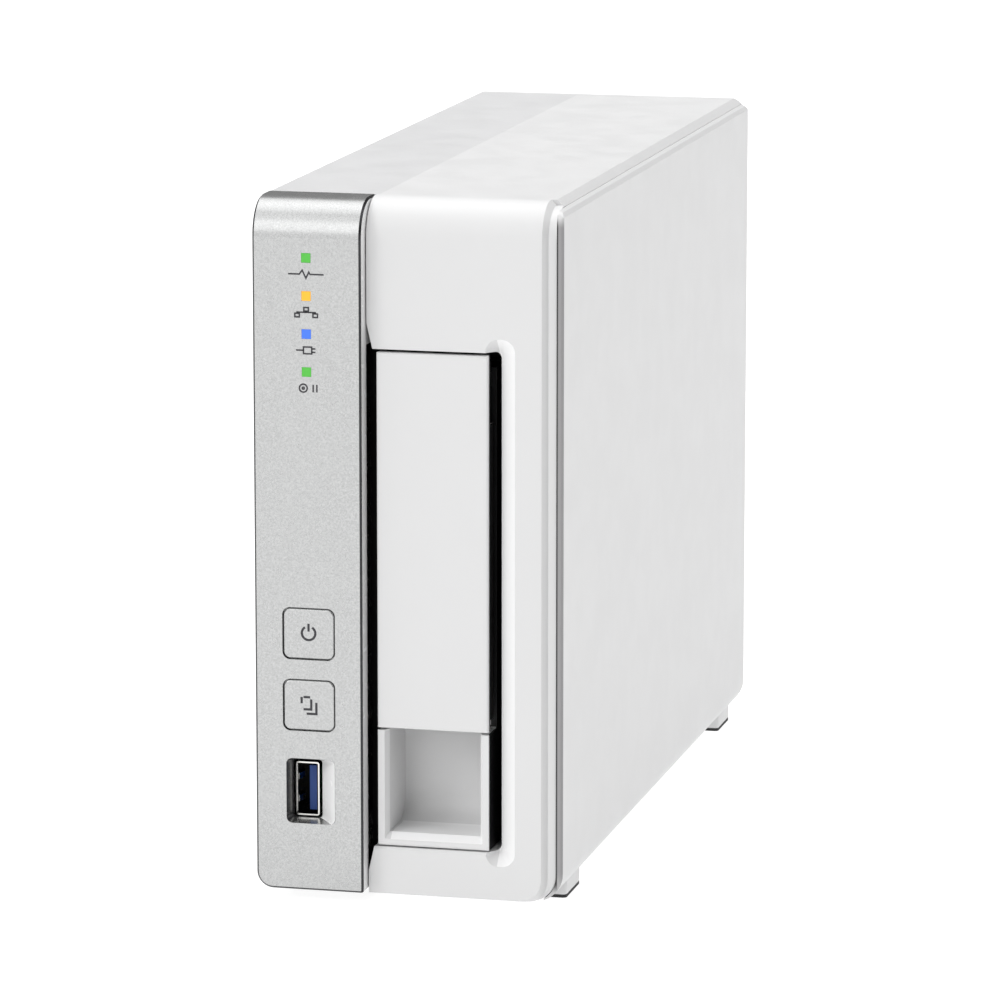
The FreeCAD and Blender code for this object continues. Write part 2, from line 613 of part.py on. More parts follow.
def front_ribbon():
    """A flat flexible cable that runs to the rear and turns up to the main board's socket."""
    t = 0.3
    x0 = 9.0
    bend = 3.0
    end = BOARD_X - 1.4
    centre_y = 30.0
    strip = [
        (x0, 13.6, 0), (x0 + t, 13.6, 0), (x0 + t, centre_y, bend - t), (end, 33.4, 1.0),
        (end, 34.0, 0), (end - t, 34.0, 0), (end - t, 33.4 + t, 0.6), (x0, centre_y + t, bend)]
    return prism_z(strip, RIBBON_Z0, RIBBON_Z1)


# Drive bay
def drive_cage():
    """Five sheets, spot-welded along their edges; the right one stands on a foot flange."""
    inner_x0, inner_x1 = CAGE_X0 + SHEET, CAGE_X1 - SHEET
    left = box(CAGE_X0, inner_x0, CAGE_Y0, CAGE_Y1, CAGE_Z0, CAGE_Z1)
    right = box(inner_x1, CAGE_X1, CAGE_Y0, CAGE_Y1, FLOOR_IN + SHEET, CAGE_Z1)
    top = box(inner_x0, inner_x1, CAGE_Y0, CAGE_Y1, CAGE_Z1 - SHEET, CAGE_Z1)
    bottom = box(inner_x0, inner_x1, CAGE_Y0, CAGE_Y1, CAGE_Z0, CAGE_Z0 + SHEET)
    foot = box(inner_x1, 67.0, CAGE_Y0, CAGE_Y1, FLOOR_IN, FLOOR_IN + SHEET)
    for y in (40, 160):
        foot = foot.cut(rod((63, y, FLOOR_IN - 1), AZ, 1.55, 4))
        for z in (40, 110):
            left = left.cut(rod((CAGE_X0 - 1, y, z), AX, 1.5, 3))
    vents = [rod((CAGE_X1 - 2, y, z), AX, 4.0, 4) for y, z in hex_grid(56, 146, 34, 116, 12.0)]
    right = right.cut(Part.makeCompound(vents))
    return Part.makeCompound([left, right, top, bottom, foot])


def cage_screws():
    screws = []
    for y in (40, 160):
        for z in (40, 110):
            screws.append(pan_screw((24.6, y, z), AX, 1.45, 2.7, 2.8, 1.5))
        screws.append(pan_screw((63, y, FLOOR_IN + SHEET), -AZ, 1.45, 3.0, 2.8, 1.5))
    return Part.makeCompound(screws)


def tray_frame():
    """The open carrier: a side plate with two rails that take the drive's side screws."""
    y0, y1 = TRAY_BACK, 168.0
    side = box(28.4, 29.9, y0, y1, 18.0, 129.0)
    low = box(28.4, 56.6, y0, y1, 18.0, DRIVE_Z0 - 0.1)
    high = box(28.4, 56.6, y0, y1, DRIVE_Z1 + 0.1, 129.0)
    carrier = join([side, low, high])
    cuts = [prism_x(rectangle(y, y + 34, 34, 112, 5.0), 27, 30.1) for y in (32, 76, 120)]
    for y in DRIVE_HOLES_Y:
        for z0, head_z in ((17, 17), (DRIVE_Z1, 127.4)):
            cuts.append(rod((DRIVE_HOLE_X, y, z0), AZ, 1.8, 6))
            cuts.append(rod((DRIVE_HOLE_X, y, head_z), AZ, 3.3, 2.6))
    for y in (32, 96):
        cuts.append(box(33, 52, y + 14, y + 40, 17, 19.6))
        cuts.append(box(33, 52, y + 14, y + 40, 127.2, 130))
    return carrier.cut(Part.makeCompound(cuts))


def tray_front():
    """Finger pocket below, recess behind the lever above, and the lever's two bearings."""
    block = box(TRAY_X0, TRAY_X1, FACE_Y, TRAY_BACK, TRAY_Z0, LEVER_Z0 - 0.6)
    front_rim = edges_at(block, lambda p: near(p.y, FACE_Y) and p.z < LEVER_Z0 - 1)
    block = block.makeChamfer(0.5, front_rim)
    left, right, floor, bevel = 31.4, 53.7, 16.9, 0.8
    pocket = prism_x([
        (FACE_Y - 1, floor, 0), (20.5, floor, 6.0), (20.5, LEVER_Z0, 0),
        (FACE_Y - 1, LEVER_Z0, 0)], left, right)
    mouth = []
    for y, grow in ((FACE_Y, 1.0), (FACE_Y + bevel * 2, 0.0)):
        corners = rectangle(left - bevel * grow, right + bevel * grow,
                            floor - 1.6 * grow, LEVER_Z0 + 4, 0.3)
        mouth.append(outline(corners, lambda p, y=y: V(p.x, y, p.y)))
    pocket = join([pocket, Part.makeLoft(mouth, True, True)])
    sides = [box(x, x + 1.5, RECESS_PLATE_Y, TRAY_BACK, LEVER_Z0 - 1.5, 128.6)
             for x in (30.6, 54.5)]
    plate = box(30.6, 56.0, RECESS_PLATE_Y, RECESS_PLATE_Y + 2.0, LEVER_Z0 + 8, 128.6)
    link = box(30.6, 56.0, RECESS_PLATE_Y, 20.5, LEVER_Z0 + 8, LEVER_Z0 + 9.6)
    back = box(30.6, 56.0, 20.5, TRAY_BACK, LEVER_Z0 - 1.5, LEVER_Z0 + 9.6)
    cap = box(30.6, 56.0, RECESS_PLATE_Y, TRAY_BACK, 127.0, 128.6)
    bearings = []
    for x in (30.6, 52.0):
        arm = box(x, x + 2.6, PIVOT_Y, RECESS_PLATE_Y + 0.5, PIVOT_Z - 1.7, PIVOT_Z + 1.7)
        end = rod((x, PIVOT_Y, PIVOT_Z), AX, 1.7, 2.6)
        bearings.append(join([arm, end]))
    front = join([block.cut(pocket), plate, link, back, cap] + sides + bearings)
    return front.cut(rod((30, PIVOT_Y, PIVOT_Z), AX, PIVOT_R + 0.02, 28))


def lever_pin():
    return rod((30.6, PIVOT_Y, PIVOT_Z), AX, PIVOT_R, 24.0)


def tray_lever():
    back = LEVER_FACE + LEVER_T
    plate = box(TRAY_X0, TRAY_X1, LEVER_FACE, back, LEVER_Z0, TRAY_Z1)
    plate = plate.makeFillet(0.6, edges_at(plate, lambda p: near(p.y, LEVER_FACE)))
    relief = box(TRAY_X0 + 1.2, TRAY_X1 - 1.2, PIVOT_Y - 1.8, back + 1, 122.4, TRAY_Z1 - 0.8)
    plate = plate.cut(relief)
    returns = [box(x, x + 1.2, back - 0.1, back + 3.0, LEVER_Z0 + 2.6, 116.0)
               for x in (TRAY_X0, TRAY_X1 - 1.2)]
    grip = box(TRAY_X0 + 4, TRAY_X1 - 4, back - 0.1, back + 1.6, LEVER_Z0, LEVER_Z0 + 1.4)
    ribs = [box(TRAY_X0, TRAY_X1, back - 0.1, back + 1.5, z, z + 1.2) for z in (64, 84, 104)]
    ears = []
    for x in (33.4, 49.8):
        disc = rod((x, PIVOT_Y, PIVOT_Z), AX, 2.3, 2.0)
        stem = box(x, x + 2.0, LEVER_FACE + 1.0, PIVOT_Y + 1.2, 118.0, PIVOT_Z)
        ears.append(join([disc.cut(box(x - 1, x + 3, 0, LEVER_FACE + 1, 118, 132)), stem]))
    lever = join([plate, grip] + returns + ribs + ears)
    return lever.cut(rod((33, PIVOT_Y, PIVOT_Z), AX, PIVOT_R + RUN, 19))


def drive_body():
    """The cast base, hollow where the discs and the head arm lie."""
    base = box(DRIVE_X0 + 0.9, DRIVE_X1 - 1.8, DRIVE_Y0, DRIVE_Y1, DRIVE_Z0, DRIVE_Z1)
    upright = edges_at(base, lambda p: (near(p.y, DRIVE_Y0) or near(p.y, DRIVE_Y1)) and
                       (near(p.z, DRIVE_Z0) or near(p.z, DRIVE_Z1)))
    base = base.makeFillet(2.0, upright)
    bay = box(DRIVE_X1 - 6.6, DRIVE_X1, DRIVE_Y1 - 8, DRIVE_Y1 + 1, 30, 78)
    chamber = rod((DRIVE_X0, DRIVE_Y0 + 50, 73.2), AX, 46.0, 15.5)
    arm_room = box(DRIVE_X0, DRIVE_X0 + 15.5, DRIVE_Y0 + 86, DRIVE_Y1 - 14, 40, 106)
    holes = []
    for y in DRIVE_HOLES_Y:
        for z in (DRIVE_Z0, DRIVE_Z1 - 7):
            holes.append(rod((DRIVE_HOLE_X, y, z), AZ, 1.75, 7))
    return base.cut(Part.makeCompound([bay, chamber, arm_room] + holes))


def drive_lid():
    lid = prism_x(rectangle(DRIVE_Y0 + 1, DRIVE_Y1 - 1, DRIVE_Z0 + 1, DRIVE_Z1 - 1, 4.0),
                  DRIVE_X0, DRIVE_X0 + 0.9)
    dish = tube((DRIVE_X0, 76, 73), AX, 44.0, 42.5, 0.4)
    return lid.cut(dish)


def drive_board():
    board = box(DRIVE_X1 - 1.8, DRIVE_X1 - 0.2, 96, DRIVE_Y1 - 9, 28, 118)
    chips = [box(DRIVE_X1 - 0.2, DRIVE_X1, y, y + 12, z, z + 12) for y, z in ((110, 40), (130, 80))]
    return join([board] + chips)


def drive_socket():
    """The drive's data and power plug."""
    shell = box(DRIVE_X1 - 6.4, DRIVE_X1 - 0.4, DRIVE_Y1 - 7.8, DRIVE_Y1 - 0.2, 31, 77)
    return shell.cut(box(DRIVE_X1 - 5.4, DRIVE_X1 - 1.4, DRIVE_Y1 - 5.8, DRIVE_Y1, 32.6, 75.4))


def drive_screws():
    screws = []
    for y in DRIVE_HOLES_Y:
        screws.append(pan_screw((DRIVE_HOLE_X, y, 19.6), AZ, 1.7, 8.0, 3.0, 1.2))
        screws.append(pan_screw((DRIVE_HOLE_X, y, 127.4), -AZ, 1.7, 8.5, 3.0, 1.2))
    return Part.makeCompound(screws)


BACKPLANE_Y = 181.0


def backplane_board():
    board = box(CAGE_X0 + 0.3, 62.0, BACKPLANE_Y, BACKPLANE_Y + BOARD_T, 20.0, 126.0)
    window = box(32.0, 46.0, BACKPLANE_Y - 1, BACKPLANE_Y + 3, 82.0, 120.0)
    return board.cut(window)


def sata_connector():
    """The blade plugs into the drive with clearance all round."""
    base = box(DRIVE_X1 - 7.0, DRIVE_X1 + 0.6, 173.4, BACKPLANE_Y, 30.0, 78.0)
    blade = box(DRIVE_X1 - 4.4, DRIVE_X1 - 2.4, DRIVE_Y1 - 5.0, 173.4, 33.4, 74.6)
    return join([base, blade])


def backplane_link():
    """Board-to-board header between the backplane and the main board."""
    header = box(BOARD_X + BOARD_T, CAGE_X0 + 0.3, 186.4, 190.0, 62.0, 82.0)
    end = box(CAGE_X0 + 0.3, CAGE_X0 + 4.0, BACKPLANE_Y + BOARD_T, 190.0, 62.0, 82.0)
    return join([header, end])


# Fan
def fan_frame():
    x0, z0 = FAN_X - FAN_SIZE / 2, FAN_Z - FAN_SIZE / 2
    block = prism_y(rectangle(x0, x0 + FAN_SIZE, z0, z0 + FAN_SIZE, 4.0), FAN_Y0, REAR_IN)
    cuts = [rod((FAN_X, FAN_Y0 - 1, FAN_Z), AY, 24.0, FAN_DEEP + 2)]
    for dx in (-FAN_HOLE, FAN_HOLE):
        for dz in (-FAN_HOLE, FAN_HOLE):
            cuts.append(rod((FAN_X + dx, FAN_Y0 - 1, FAN_Z + dz), AY, 1.8, FAN_DEEP + 2))
            corner = box(FAN_X + dx * 1.25 - 7, FAN_X + dx * 1.25 + 7, FAN_Y0 + 3, REAR_IN - 3,
                         FAN_Z + dz * 1.25 - 7, FAN_Z + dz * 1.25 + 7)
            cuts.append(corner.cut(rod((FAN_X, FAN_Y0, FAN_Z), AY, 25.4, FAN_DEEP)))
    block = block.cut(Part.makeCompound(cuts))
    struts = []
    for i in range(4):
        strut = box(FAN_X, FAN_X + 24.6, FAN_Y0, FAN_Y0 + 2.0, FAN_Z - 1.4, FAN_Z + 1.4)
        struts.append(strut.rotate(V(FAN_X, 0, FAN_Z), AY, 45 + 90 * i))
    motor = rod((FAN_X, FAN_Y0, FAN_Z), AY, 12.0, 2.0)
    sleeve = rod((FAN_X, FAN_Y0, FAN_Z), AY, 3.0, 9.0)
    bore = rod((FAN_X, FAN_Y0 + 1.0, FAN_Z), AY, 1.5 + RUN, 9.0)
    return join([block, motor, sleeve] + struts).cut(bore)


def fan_rotor():
    front, back = FAN_Y0 + 2.8, REAR_IN - 1.6
    cup = tube((FAN_X, front, FAN_Z), AY, 12.2, 10.8, back - front)
    crown = rod((FAN_X, back - 1.6, FAN_Z), AY, 12.2, 1.6)
    shaft = rod((FAN_X, FAN_Y0 + 1.4, FAN_Z), AY, 1.5, back - FAN_Y0 - 2.0)
    blades = [fan_blade(360.0 / BLADES * i, front + 0.6, back - 0.6) for i in range(BLADES)]
    return join([cup, crown, shaft] + blades)


def fan_blade(angle, y_low, y_high):
    """A pitched blade: its chord grows with the radius, so that the pitch angle stays the same."""
    thick, chord_per_radius = 1.2, 0.6
    wires = []
    for radius in (11.6, 17.0, 22.4):
        half = radius * chord_per_radius / 2
        corners = [(-half, y_low), (half - thick, y_high), (half, y_high), (thick - half, y_low)]
        points = [V(FAN_X + radius, y, FAN_Z + t) for t, y in corners]
        wires.append(Part.makePolygon(points + [points[0]]))
    return Part.makeLoft(wires, True, True).rotate(V(FAN_X, 0, FAN_Z), AY, angle)


def fan_screws():
    screws = []
    for dx in (-FAN_HOLE, FAN_HOLE):
        for dz in (-FAN_HOLE, FAN_HOLE):
            screws.append(pan_screw((FAN_X + dx, DEPTH - SINK, FAN_Z + dz), -AY,
                                    1.75, 12.0, 3.4, 1.1))
    return Part.makeCompound(screws)


# Feet and outer fasteners
FOOT_XS = ((2.5, 17.5), (56.8, 71.8))
FOOT_YS = ((17.3, 32.3), (199.5, 214.5))
SOLE_T = 0.8


def feet(z0, z1, inset):
    pads = []
    for x0, x1 in FOOT_XS:
        for y0, y1 in FOOT_YS:
            pads.append(prism_z(rectangle(x0 + inset, x1 - inset, y0 + inset, y1 - inset, 1.0),
                                z0, z1))
    return pads


def foot_bodies():
    hull = housing_envelope()
    return Part.makeCompound([pad.cut(hull) for pad in feet(SOLE_T, 4.4, 0.0)])


def foot_soles():
    return Part.makeCompound(feet(0.0, SOLE_T, 0.0))


def cover_screws():
    return Part.makeCompound([
        pan_screw((68.4, DEPTH - SINK, z), -AY, 1.2, 9.0, 2.7, 1.1) for z in COVER_POST_ZS])


def save(name, shape):
    """Moves a piece to the centred frame and writes it."""
    placed = shape.copy()
    placed.translate(V(-WIDTH / 2, -DEPTH / 2, 0))
    if not placed.isValid():
        print("not valid:", name)
    placed.exportStep("parts/%s.step" % name)
    print("%-22s solids %d  %.2f cm3" % (name, len(placed.Solids), placed.Volume / 1000))


def build():
    os.makedirs("parts", exist_ok=True)
    for piece in (
            left_housing, main_housing, side_cover, rear_panel, silver_fascia, front_bezel,
            front_leds, front_board, tact_switches, lan_jack, dc_jack, dc_pin,
            reset_switch, reset_plunger, mainboard, board_screws, cpu, heatsink,
            memory_chips, support_chips, capacitors, inductors, cell_holder, coin_cell, buzzer,
            fan_header, ribbon_sockets, front_ribbon, drive_cage, cage_screws, tray_frame,
            tray_front, lever_pin, tray_lever, drive_body, drive_lid, drive_board,
            drive_socket, drive_screws, backplane_board, sata_connector, backplane_link,
            fan_frame, fan_rotor, fan_screws, foot_bodies, foot_soles, cover_screws):
        save(piece.__name__, piece())
    for name, z in zip(("status", "network", "usb", "drive"), LAMP_ZS):
        save(name + "_light_pipe", lamp_pipe(z))
    for name, z in (("power", POWER_Z), ("copy", COPY_Z)):
        save(name + "_button", button(z))
        save(name + "_plunger", tact_plunger(z))
    front = (FRONT_USB_X, FRONT_USB_Z, FRONT_USB_Y, 1)
    rear = [(REAR_USB_X, z, REAR_USB_Y, -1) for z in REAR_USB_ZS]
    save("front_usb_shell", usb_shell(*front))
    save("front_usb_tongue", usb_tongue(*front))
    save("rear_usb_shells", Part.makeCompound([usb_shell(*spot) for spot in rear]))
    save("rear_usb_tongues", Part.makeCompound([usb_tongue(*spot) for spot in rear]))


build()
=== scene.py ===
"""Looks for the one-bay network storage unit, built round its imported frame.

Places on the object are in millimetres and are worked out from the frame's own boxes; MM turns them
into Blender's metres. X is to the right, Y to the rear and Z up, and the front faces -Y.
"""
import json
import math

import bmesh
import bpy
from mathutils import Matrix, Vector


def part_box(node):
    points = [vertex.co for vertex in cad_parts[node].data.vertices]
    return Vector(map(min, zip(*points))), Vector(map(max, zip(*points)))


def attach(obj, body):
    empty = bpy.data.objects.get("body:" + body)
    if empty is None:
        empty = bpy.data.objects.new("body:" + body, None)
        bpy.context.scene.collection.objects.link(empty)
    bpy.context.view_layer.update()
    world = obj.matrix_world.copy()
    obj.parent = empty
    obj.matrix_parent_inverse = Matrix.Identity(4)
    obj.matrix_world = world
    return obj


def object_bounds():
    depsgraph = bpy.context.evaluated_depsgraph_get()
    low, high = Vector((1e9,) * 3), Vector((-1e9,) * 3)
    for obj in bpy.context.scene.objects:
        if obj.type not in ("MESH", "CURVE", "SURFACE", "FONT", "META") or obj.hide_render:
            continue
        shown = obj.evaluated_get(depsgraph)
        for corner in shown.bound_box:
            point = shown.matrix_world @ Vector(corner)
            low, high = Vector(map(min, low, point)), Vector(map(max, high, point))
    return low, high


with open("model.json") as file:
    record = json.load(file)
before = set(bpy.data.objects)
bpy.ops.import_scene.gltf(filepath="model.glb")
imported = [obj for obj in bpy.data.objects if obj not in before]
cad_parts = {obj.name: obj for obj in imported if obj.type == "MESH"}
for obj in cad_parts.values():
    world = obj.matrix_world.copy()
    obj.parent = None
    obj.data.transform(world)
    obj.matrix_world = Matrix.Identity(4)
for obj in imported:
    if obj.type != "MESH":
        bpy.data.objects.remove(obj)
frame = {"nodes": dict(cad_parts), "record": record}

MM = 0.001
cad_low, cad_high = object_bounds()
nodes = frame["nodes"]


def box_mm(node):
    """A node's lowest and highest corners in millimetres."""
    low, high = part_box(node)
    return low / MM, high / MM


def middle_mm(node):
    low, high = box_mm(node)
    return (low + high) / 2


# ---------------------------------------------------------------- camera, floor and light
CAMERA_PLACE = (0.33052, -1.38181, 0.34547)
CAMERA_TURN = 13.625          # degrees to the left of straight ahead
CAMERA_DOWN = 10.669
CAMERA_LENS = 205.04          # millimetres, on a sensor 36 mm wide
FLOOR_SIZE = 16.0
FLOOR_WHITE = (0.36, 0.36, 0.36)
FLOOR_GLOW = 0.81             # keeps the paper white where the lamps don't reach it


def make_camera():
    data = bpy.data.cameras.new("camera")
    data.lens = CAMERA_LENS
    data.sensor_width = 36.0
    data.clip_start, data.clip_end = 0.05, 60.0
    camera = bpy.data.objects.new("camera", data)
    camera.location = CAMERA_PLACE
    camera.rotation_euler = (math.radians(90 - CAMERA_DOWN), 0, math.radians(CAMERA_TURN))
    bpy.context.scene.collection.objects.link(camera)
    bpy.context.scene.camera = camera


def make_floor():
    shape = bmesh.new()
    bmesh.ops.create_grid(shape, x_segments=8, y_segments=8, size=FLOOR_SIZE / 2)
    mesh = bpy.data.meshes.new("floor")
    shape.to_mesh(mesh)
    shape.free()
    floor = bpy.data.objects.new("floor", mesh)
    bpy.context.scene.collection.objects.link(floor)
    paint = Paint("floor_paper", FLOOR_WHITE, 0.9, specular=0.1)
    paint.vary_roughness(0.4, 0.04)
    paint.glow((1.0, 1.0, 1.0), FLOOR_GLOW)
    floor.data.materials.append(paint.material)


# Brightness of the studio round the object: each stop is a place from the rear horizon (0) over the
# zenith (0.5) to the front horizon (1), and the brightness there.
STUDIO_STOPS = (
    (0.00, 0.18), (0.24, 0.24), (0.34, 1.70), (0.44, 2.05), (0.54, 1.75), (0.64, 0.75),
    (0.78, 0.22), (1.00, 0.10))
STRIP_STOPS = (
    (0.00, 0.0), (0.54, 0.0), (0.64, 0.45), (0.72, 1.00), (0.80, 1.75), (0.91, 1.85), (1.00, 0.90))
STRIP_SIDE = -0.24            # the bright strip in front stands to the left of the middle
STRIP_HALF = (0.14, 0.34)     # where it starts to fade and where it ends
STUDIO_LEAN = 0.25            # how much brighter the studio is on the left than on the right


def world_ramp(tree, place, stops):
    """The brightness that the stops give at a place."""
    ramp = tree.nodes.new("ShaderNodeValToRGB")
    ramp.color_ramp.interpolation = "EASE"
    brightest = max(value for _, value in stops)
    marks = ramp.color_ramp.elements
    marks[0].position, marks[1].position = stops[0][0], stops[-1][0]
    for position, _ in stops[1:-1]:
        marks.new(position)
    for mark, (_, value) in zip(marks, stops):
        mark.color = (value / brightest,) * 3 + (1.0,)
    tree.links.new(place, ramp.inputs[0])
    return math_node(tree, "MULTIPLY", ramp.outputs["Color"], brightest)


def make_world():
    world = bpy.data.worlds.new("studio")
    bpy.context.scene.world = world
    world.use_nodes = True
    tree = world.node_tree
    back = tree.nodes["Background"]
    back.inputs["Color"].default_value = (1.0, 1.0, 1.0, 1.0)
    direction = tree.nodes.new("ShaderNodeTexCoord").outputs["Generated"]
    split = tree.nodes.new("ShaderNodeSeparateXYZ")
    tree.links.new(direction, split.inputs[0])
    front = math_node(tree, "MULTIPLY", split.outputs["Y"], -1.0)
    turn = math_node(tree, "ARCTAN2", front, split.outputs["Z"])
    place = math_node(tree, "MULTIPLY_ADD", turn, 1 / math.pi, 0.5)
    lean = math_node(tree, "MULTIPLY_ADD", split.outputs["X"], -STUDIO_LEAN, 1.0)
    room = math_node(tree, "MULTIPLY", lean, world_ramp(tree, place, STUDIO_STOPS))
    from_strip = math_node(tree, "ABSOLUTE",
                           math_node(tree, "SUBTRACT", split.outputs["X"], STRIP_SIDE))
    fade = tree.nodes.new("ShaderNodeMapRange")
    fade.interpolation_type = "SMOOTHSTEP"
    fade.inputs["From Min"].default_value, fade.inputs["From Max"].default_value = STRIP_HALF
    fade.inputs["To Min"].default_value, fade.inputs["To Max"].default_value = 1.0, 0.0
    tree.links.new(from_strip, fade.inputs["Value"])
    strip = math_node(tree, "MULTIPLY", fade.outputs["Result"],
                      world_ramp(tree, place, STRIP_STOPS))
    tree.links.new(math_node(tree, "ADD", room, strip), back.inputs["Strength"])


SOFTBOX_SIZE = 0.9
LIGHT_AIM = (0, 0, 0.08)      # the middle of the unit


def make_softbox(name, place, watts):
    data = bpy.data.lights.new(name, "AREA")
    data.shape = "RECTANGLE"
    data.size = data.size_y = SOFTBOX_SIZE
    data.energy = watts
    light = bpy.data.objects.new(name, data)
    light.location = place
    light.rotation_euler = (Vector(LIGHT_AIM) - Vector(place)).to_track_quat("-Z", "Y").to_euler()
    bpy.context.scene.collection.objects.link(light)


# ---------------------------------------------------------------- materials
def math_node(tree, operation, first, second=None, third=None):
    node = tree.nodes.new("ShaderNodeMath")
    node.operation = operation
    for socket, value in zip(node.inputs, (first, second, third)):
        if value is None:
            continue
        if isinstance(value, (int, float)):
            socket.default_value = value
        else:
            tree.links.new(value, socket)
    return node.outputs[0]


class Paint:
    """A procedural material. Its patterns are in millimetres of the object's own frame."""

    def __init__(self, name, colour, roughness, metallic=0.0, specular=0.5):
        self.material = bpy.data.materials.new(name)
        self.material.use_nodes = True
        self.material.diffuse_color = (*colour, 1.0)
        self.tree = self.material.node_tree
        self.shader = self.tree.nodes["Principled BSDF"]
        self.shader.inputs["Roughness"].default_value = roughness
        self.shader.inputs["Metallic"].default_value = metallic
        self.shader.inputs["Specular IOR Level"].default_value = specular
        self.roughness = roughness
        self.metallic = metallic
        self.colour = self.rgb(colour)
        self.height = None
        coordinates = self.tree.nodes.new("ShaderNodeTexCoord")
        self.normal = coordinates.outputs["Normal"]
        scale = self.tree.nodes.new("ShaderNodeVectorMath")
        scale.operation = "SCALE"
        scale.inputs["Scale"].default_value = 1 / MM
        self.tree.links.new(coordinates.outputs["Object"], scale.inputs[0])
        self.place = scale.outputs[0]
        self.show_colour()

    def rgb(self, colour):
        node = self.tree.nodes.new("ShaderNodeRGB")
        node.outputs[0].default_value = (*colour, 1.0)
        return node.outputs[0]

    def show_colour(self):
        self.tree.links.new(self.colour, self.shader.inputs["Base Color"])

    def maths(self, operation, first, second=None, third=None):
        return math_node(self.tree, operation, first, second, third)

    def axis(self, letter, vector=None):
        """One component of a vector, which is the place on the object unless given."""
        split = self.tree.nodes.new("ShaderNodeSeparateXYZ")
        self.tree.links.new(vector or self.place, split.inputs[0])
        return split.outputs[letter]

    def stretched(self, stretch):
        node = self.tree.nodes.new("ShaderNodeVectorMath")
        node.operation = "MULTIPLY"
        self.tree.links.new(self.place, node.inputs[0])
        node.inputs[1].default_value = stretch
        return node.outputs[0]

    def noise(self, per_mm, detail=2.0, stretch=(1, 1, 1)):
        """Soft random spots; a small stretch draws them out along that axis."""
        node = self.tree.nodes.new("ShaderNodeTexNoise")
        node.inputs["Scale"].default_value = per_mm
        node.inputs["Detail"].default_value = detail
        self.tree.links.new(self.stretched(stretch), node.inputs["Vector"])
        return node.outputs["Fac"]

    def cells(self, per_mm, output="Color", feature="F1", stretch=(1, 1, 1)):
        """Random cells: each one's colour, or the distance from its middle or its edge."""
        node = self.tree.nodes.new("ShaderNodeTexVoronoi")
        node.feature = feature
        node.inputs["Scale"].default_value = per_mm
        self.tree.links.new(self.stretched(stretch), node.inputs["Vector"])
        return node.outputs[output]

    def ramp(self, value, low, high, out_low=0.0, out_high=1.0, smooth=True):
        """Goes from out_low to out_high as the value goes from low to high."""
        node = self.tree.nodes.new("ShaderNodeMapRange")
        node.interpolation_type = "SMOOTHSTEP" if smooth else "LINEAR"
        node.inputs["From Min"].default_value = low
        node.inputs["From Max"].default_value = high
        node.inputs["To Min"].default_value = out_low
        node.inputs["To Max"].default_value = out_high
        self.tree.links.new(value, node.inputs["Value"])
        return node.outputs["Result"]

    def both(self, *masks):
        """1 where every mask is 1."""
        total = masks[0]
        for mask in masks[1:]:
            total = self.maths("MULTIPLY", total, mask)
        return total

    def mix_to(self, mask, colour):
        """Moves the colour towards another one where the mask is 1."""
        node = self.tree.nodes.new("ShaderNodeMix")
        node.data_type = "RGBA"
        node.clamp_factor = True
        self.tree.links.new(mask, node.inputs[0])
        self.tree.links.new(self.colour, node.inputs[6])
        self.tree.links.new(self.rgb(colour), node.inputs[7])
        self.colour = node.outputs[2]
        self.show_colour()

    def shade(self, pattern, low, high):
        """Multiplies the colour by low to high as the pattern goes from 0 to 1."""
        factor = self.ramp(pattern, 0.0, 1.0, low, high, smooth=False)
        node = self.tree.nodes.new("ShaderNodeVectorMath")
        node.operation = "SCALE"
        self.tree.links.new(self.colour, node.inputs[0])
        self.tree.links.new(factor, node.inputs["Scale"])
        self.colour = node.outputs[0]
        self.show_colour()

    def vary_roughness(self, per_mm, amount, stretch=(1, 1, 1)):
        varied = self.ramp(self.noise(per_mm, 3.0, stretch), 0.3, 0.7,
                           self.roughness - amount, self.roughness + amount)
        self.tree.links.new(varied, self.shader.inputs["Roughness"])

    def add_height(self, pattern, height_mm):
        """Adds to the relief that the bump shows."""
        raised = self.maths("MULTIPLY", pattern, height_mm)
        self.height = raised if self.height is None else self.maths("ADD", self.height, raised)

    def finish_relief(self):
        node = self.tree.nodes.new("ShaderNodeBump")
        node.inputs["Strength"].default_value = 1.0
        node.inputs["Distance"].default_value = MM
        self.tree.links.new(self.height, node.inputs["Height"])
        self.tree.links.new(node.outputs[0], self.shader.inputs["Normal"])

    def bare_where(self, mask):
        """Takes the metal look away where the mask is 1."""
        metal_left = self.ramp(mask, 0.0, 1.0, self.metallic, 0.0, smooth=False)
        self.tree.links.new(metal_left, self.shader.inputs["Metallic"])

    def inside(self, low, high):
        """1 inside a box given in millimetres, with crisp edges."""
        masks = []
        for letter in "XYZ":
            value = self.axis(letter)
            first, last = getattr(low, letter.lower()), getattr(high, letter.lower())
            masks.append(self.maths("GREATER_THAN", value, first))
            masks.append(self.maths("LESS_THAN", value, last))
        return self.both(*masks)

    def facing(self, letter, least):
        """1 where the surface looks along an axis; a negative least is for the other way."""
        along = self.axis(letter, self.normal)
        if least < 0:
            return self.maths("LESS_THAN", along, least)
        return self.maths("GREATER_THAN", along, least)

    def either(self, first, second):
        return self.maths("MAXIMUM", first, second)

    def glow(self, colour, strength):
        self.shader.inputs["Emission Color"].default_value = (*colour, 1.0)
        self.shader.inputs["Emission Strength"].default_value = strength


def moulded(name, colour, roughness, grain_mm=0.003, specular=0.4):
    """Satin moulded plastic: a fine spark-eroded grain and slow changes of gloss."""
    paint = Paint(name, colour, roughness, specular=specular)
    paint.shade(paint.noise(0.05, 2.0), 0.985, 1.01)
    paint.shade(paint.noise(4.0, 2.0), 0.99, 1.01)
    paint.vary_roughness(0.12, 0.04)
    paint.add_height(paint.noise(3.2, 3.0), grain_mm)
    paint.finish_relief()
    return paint


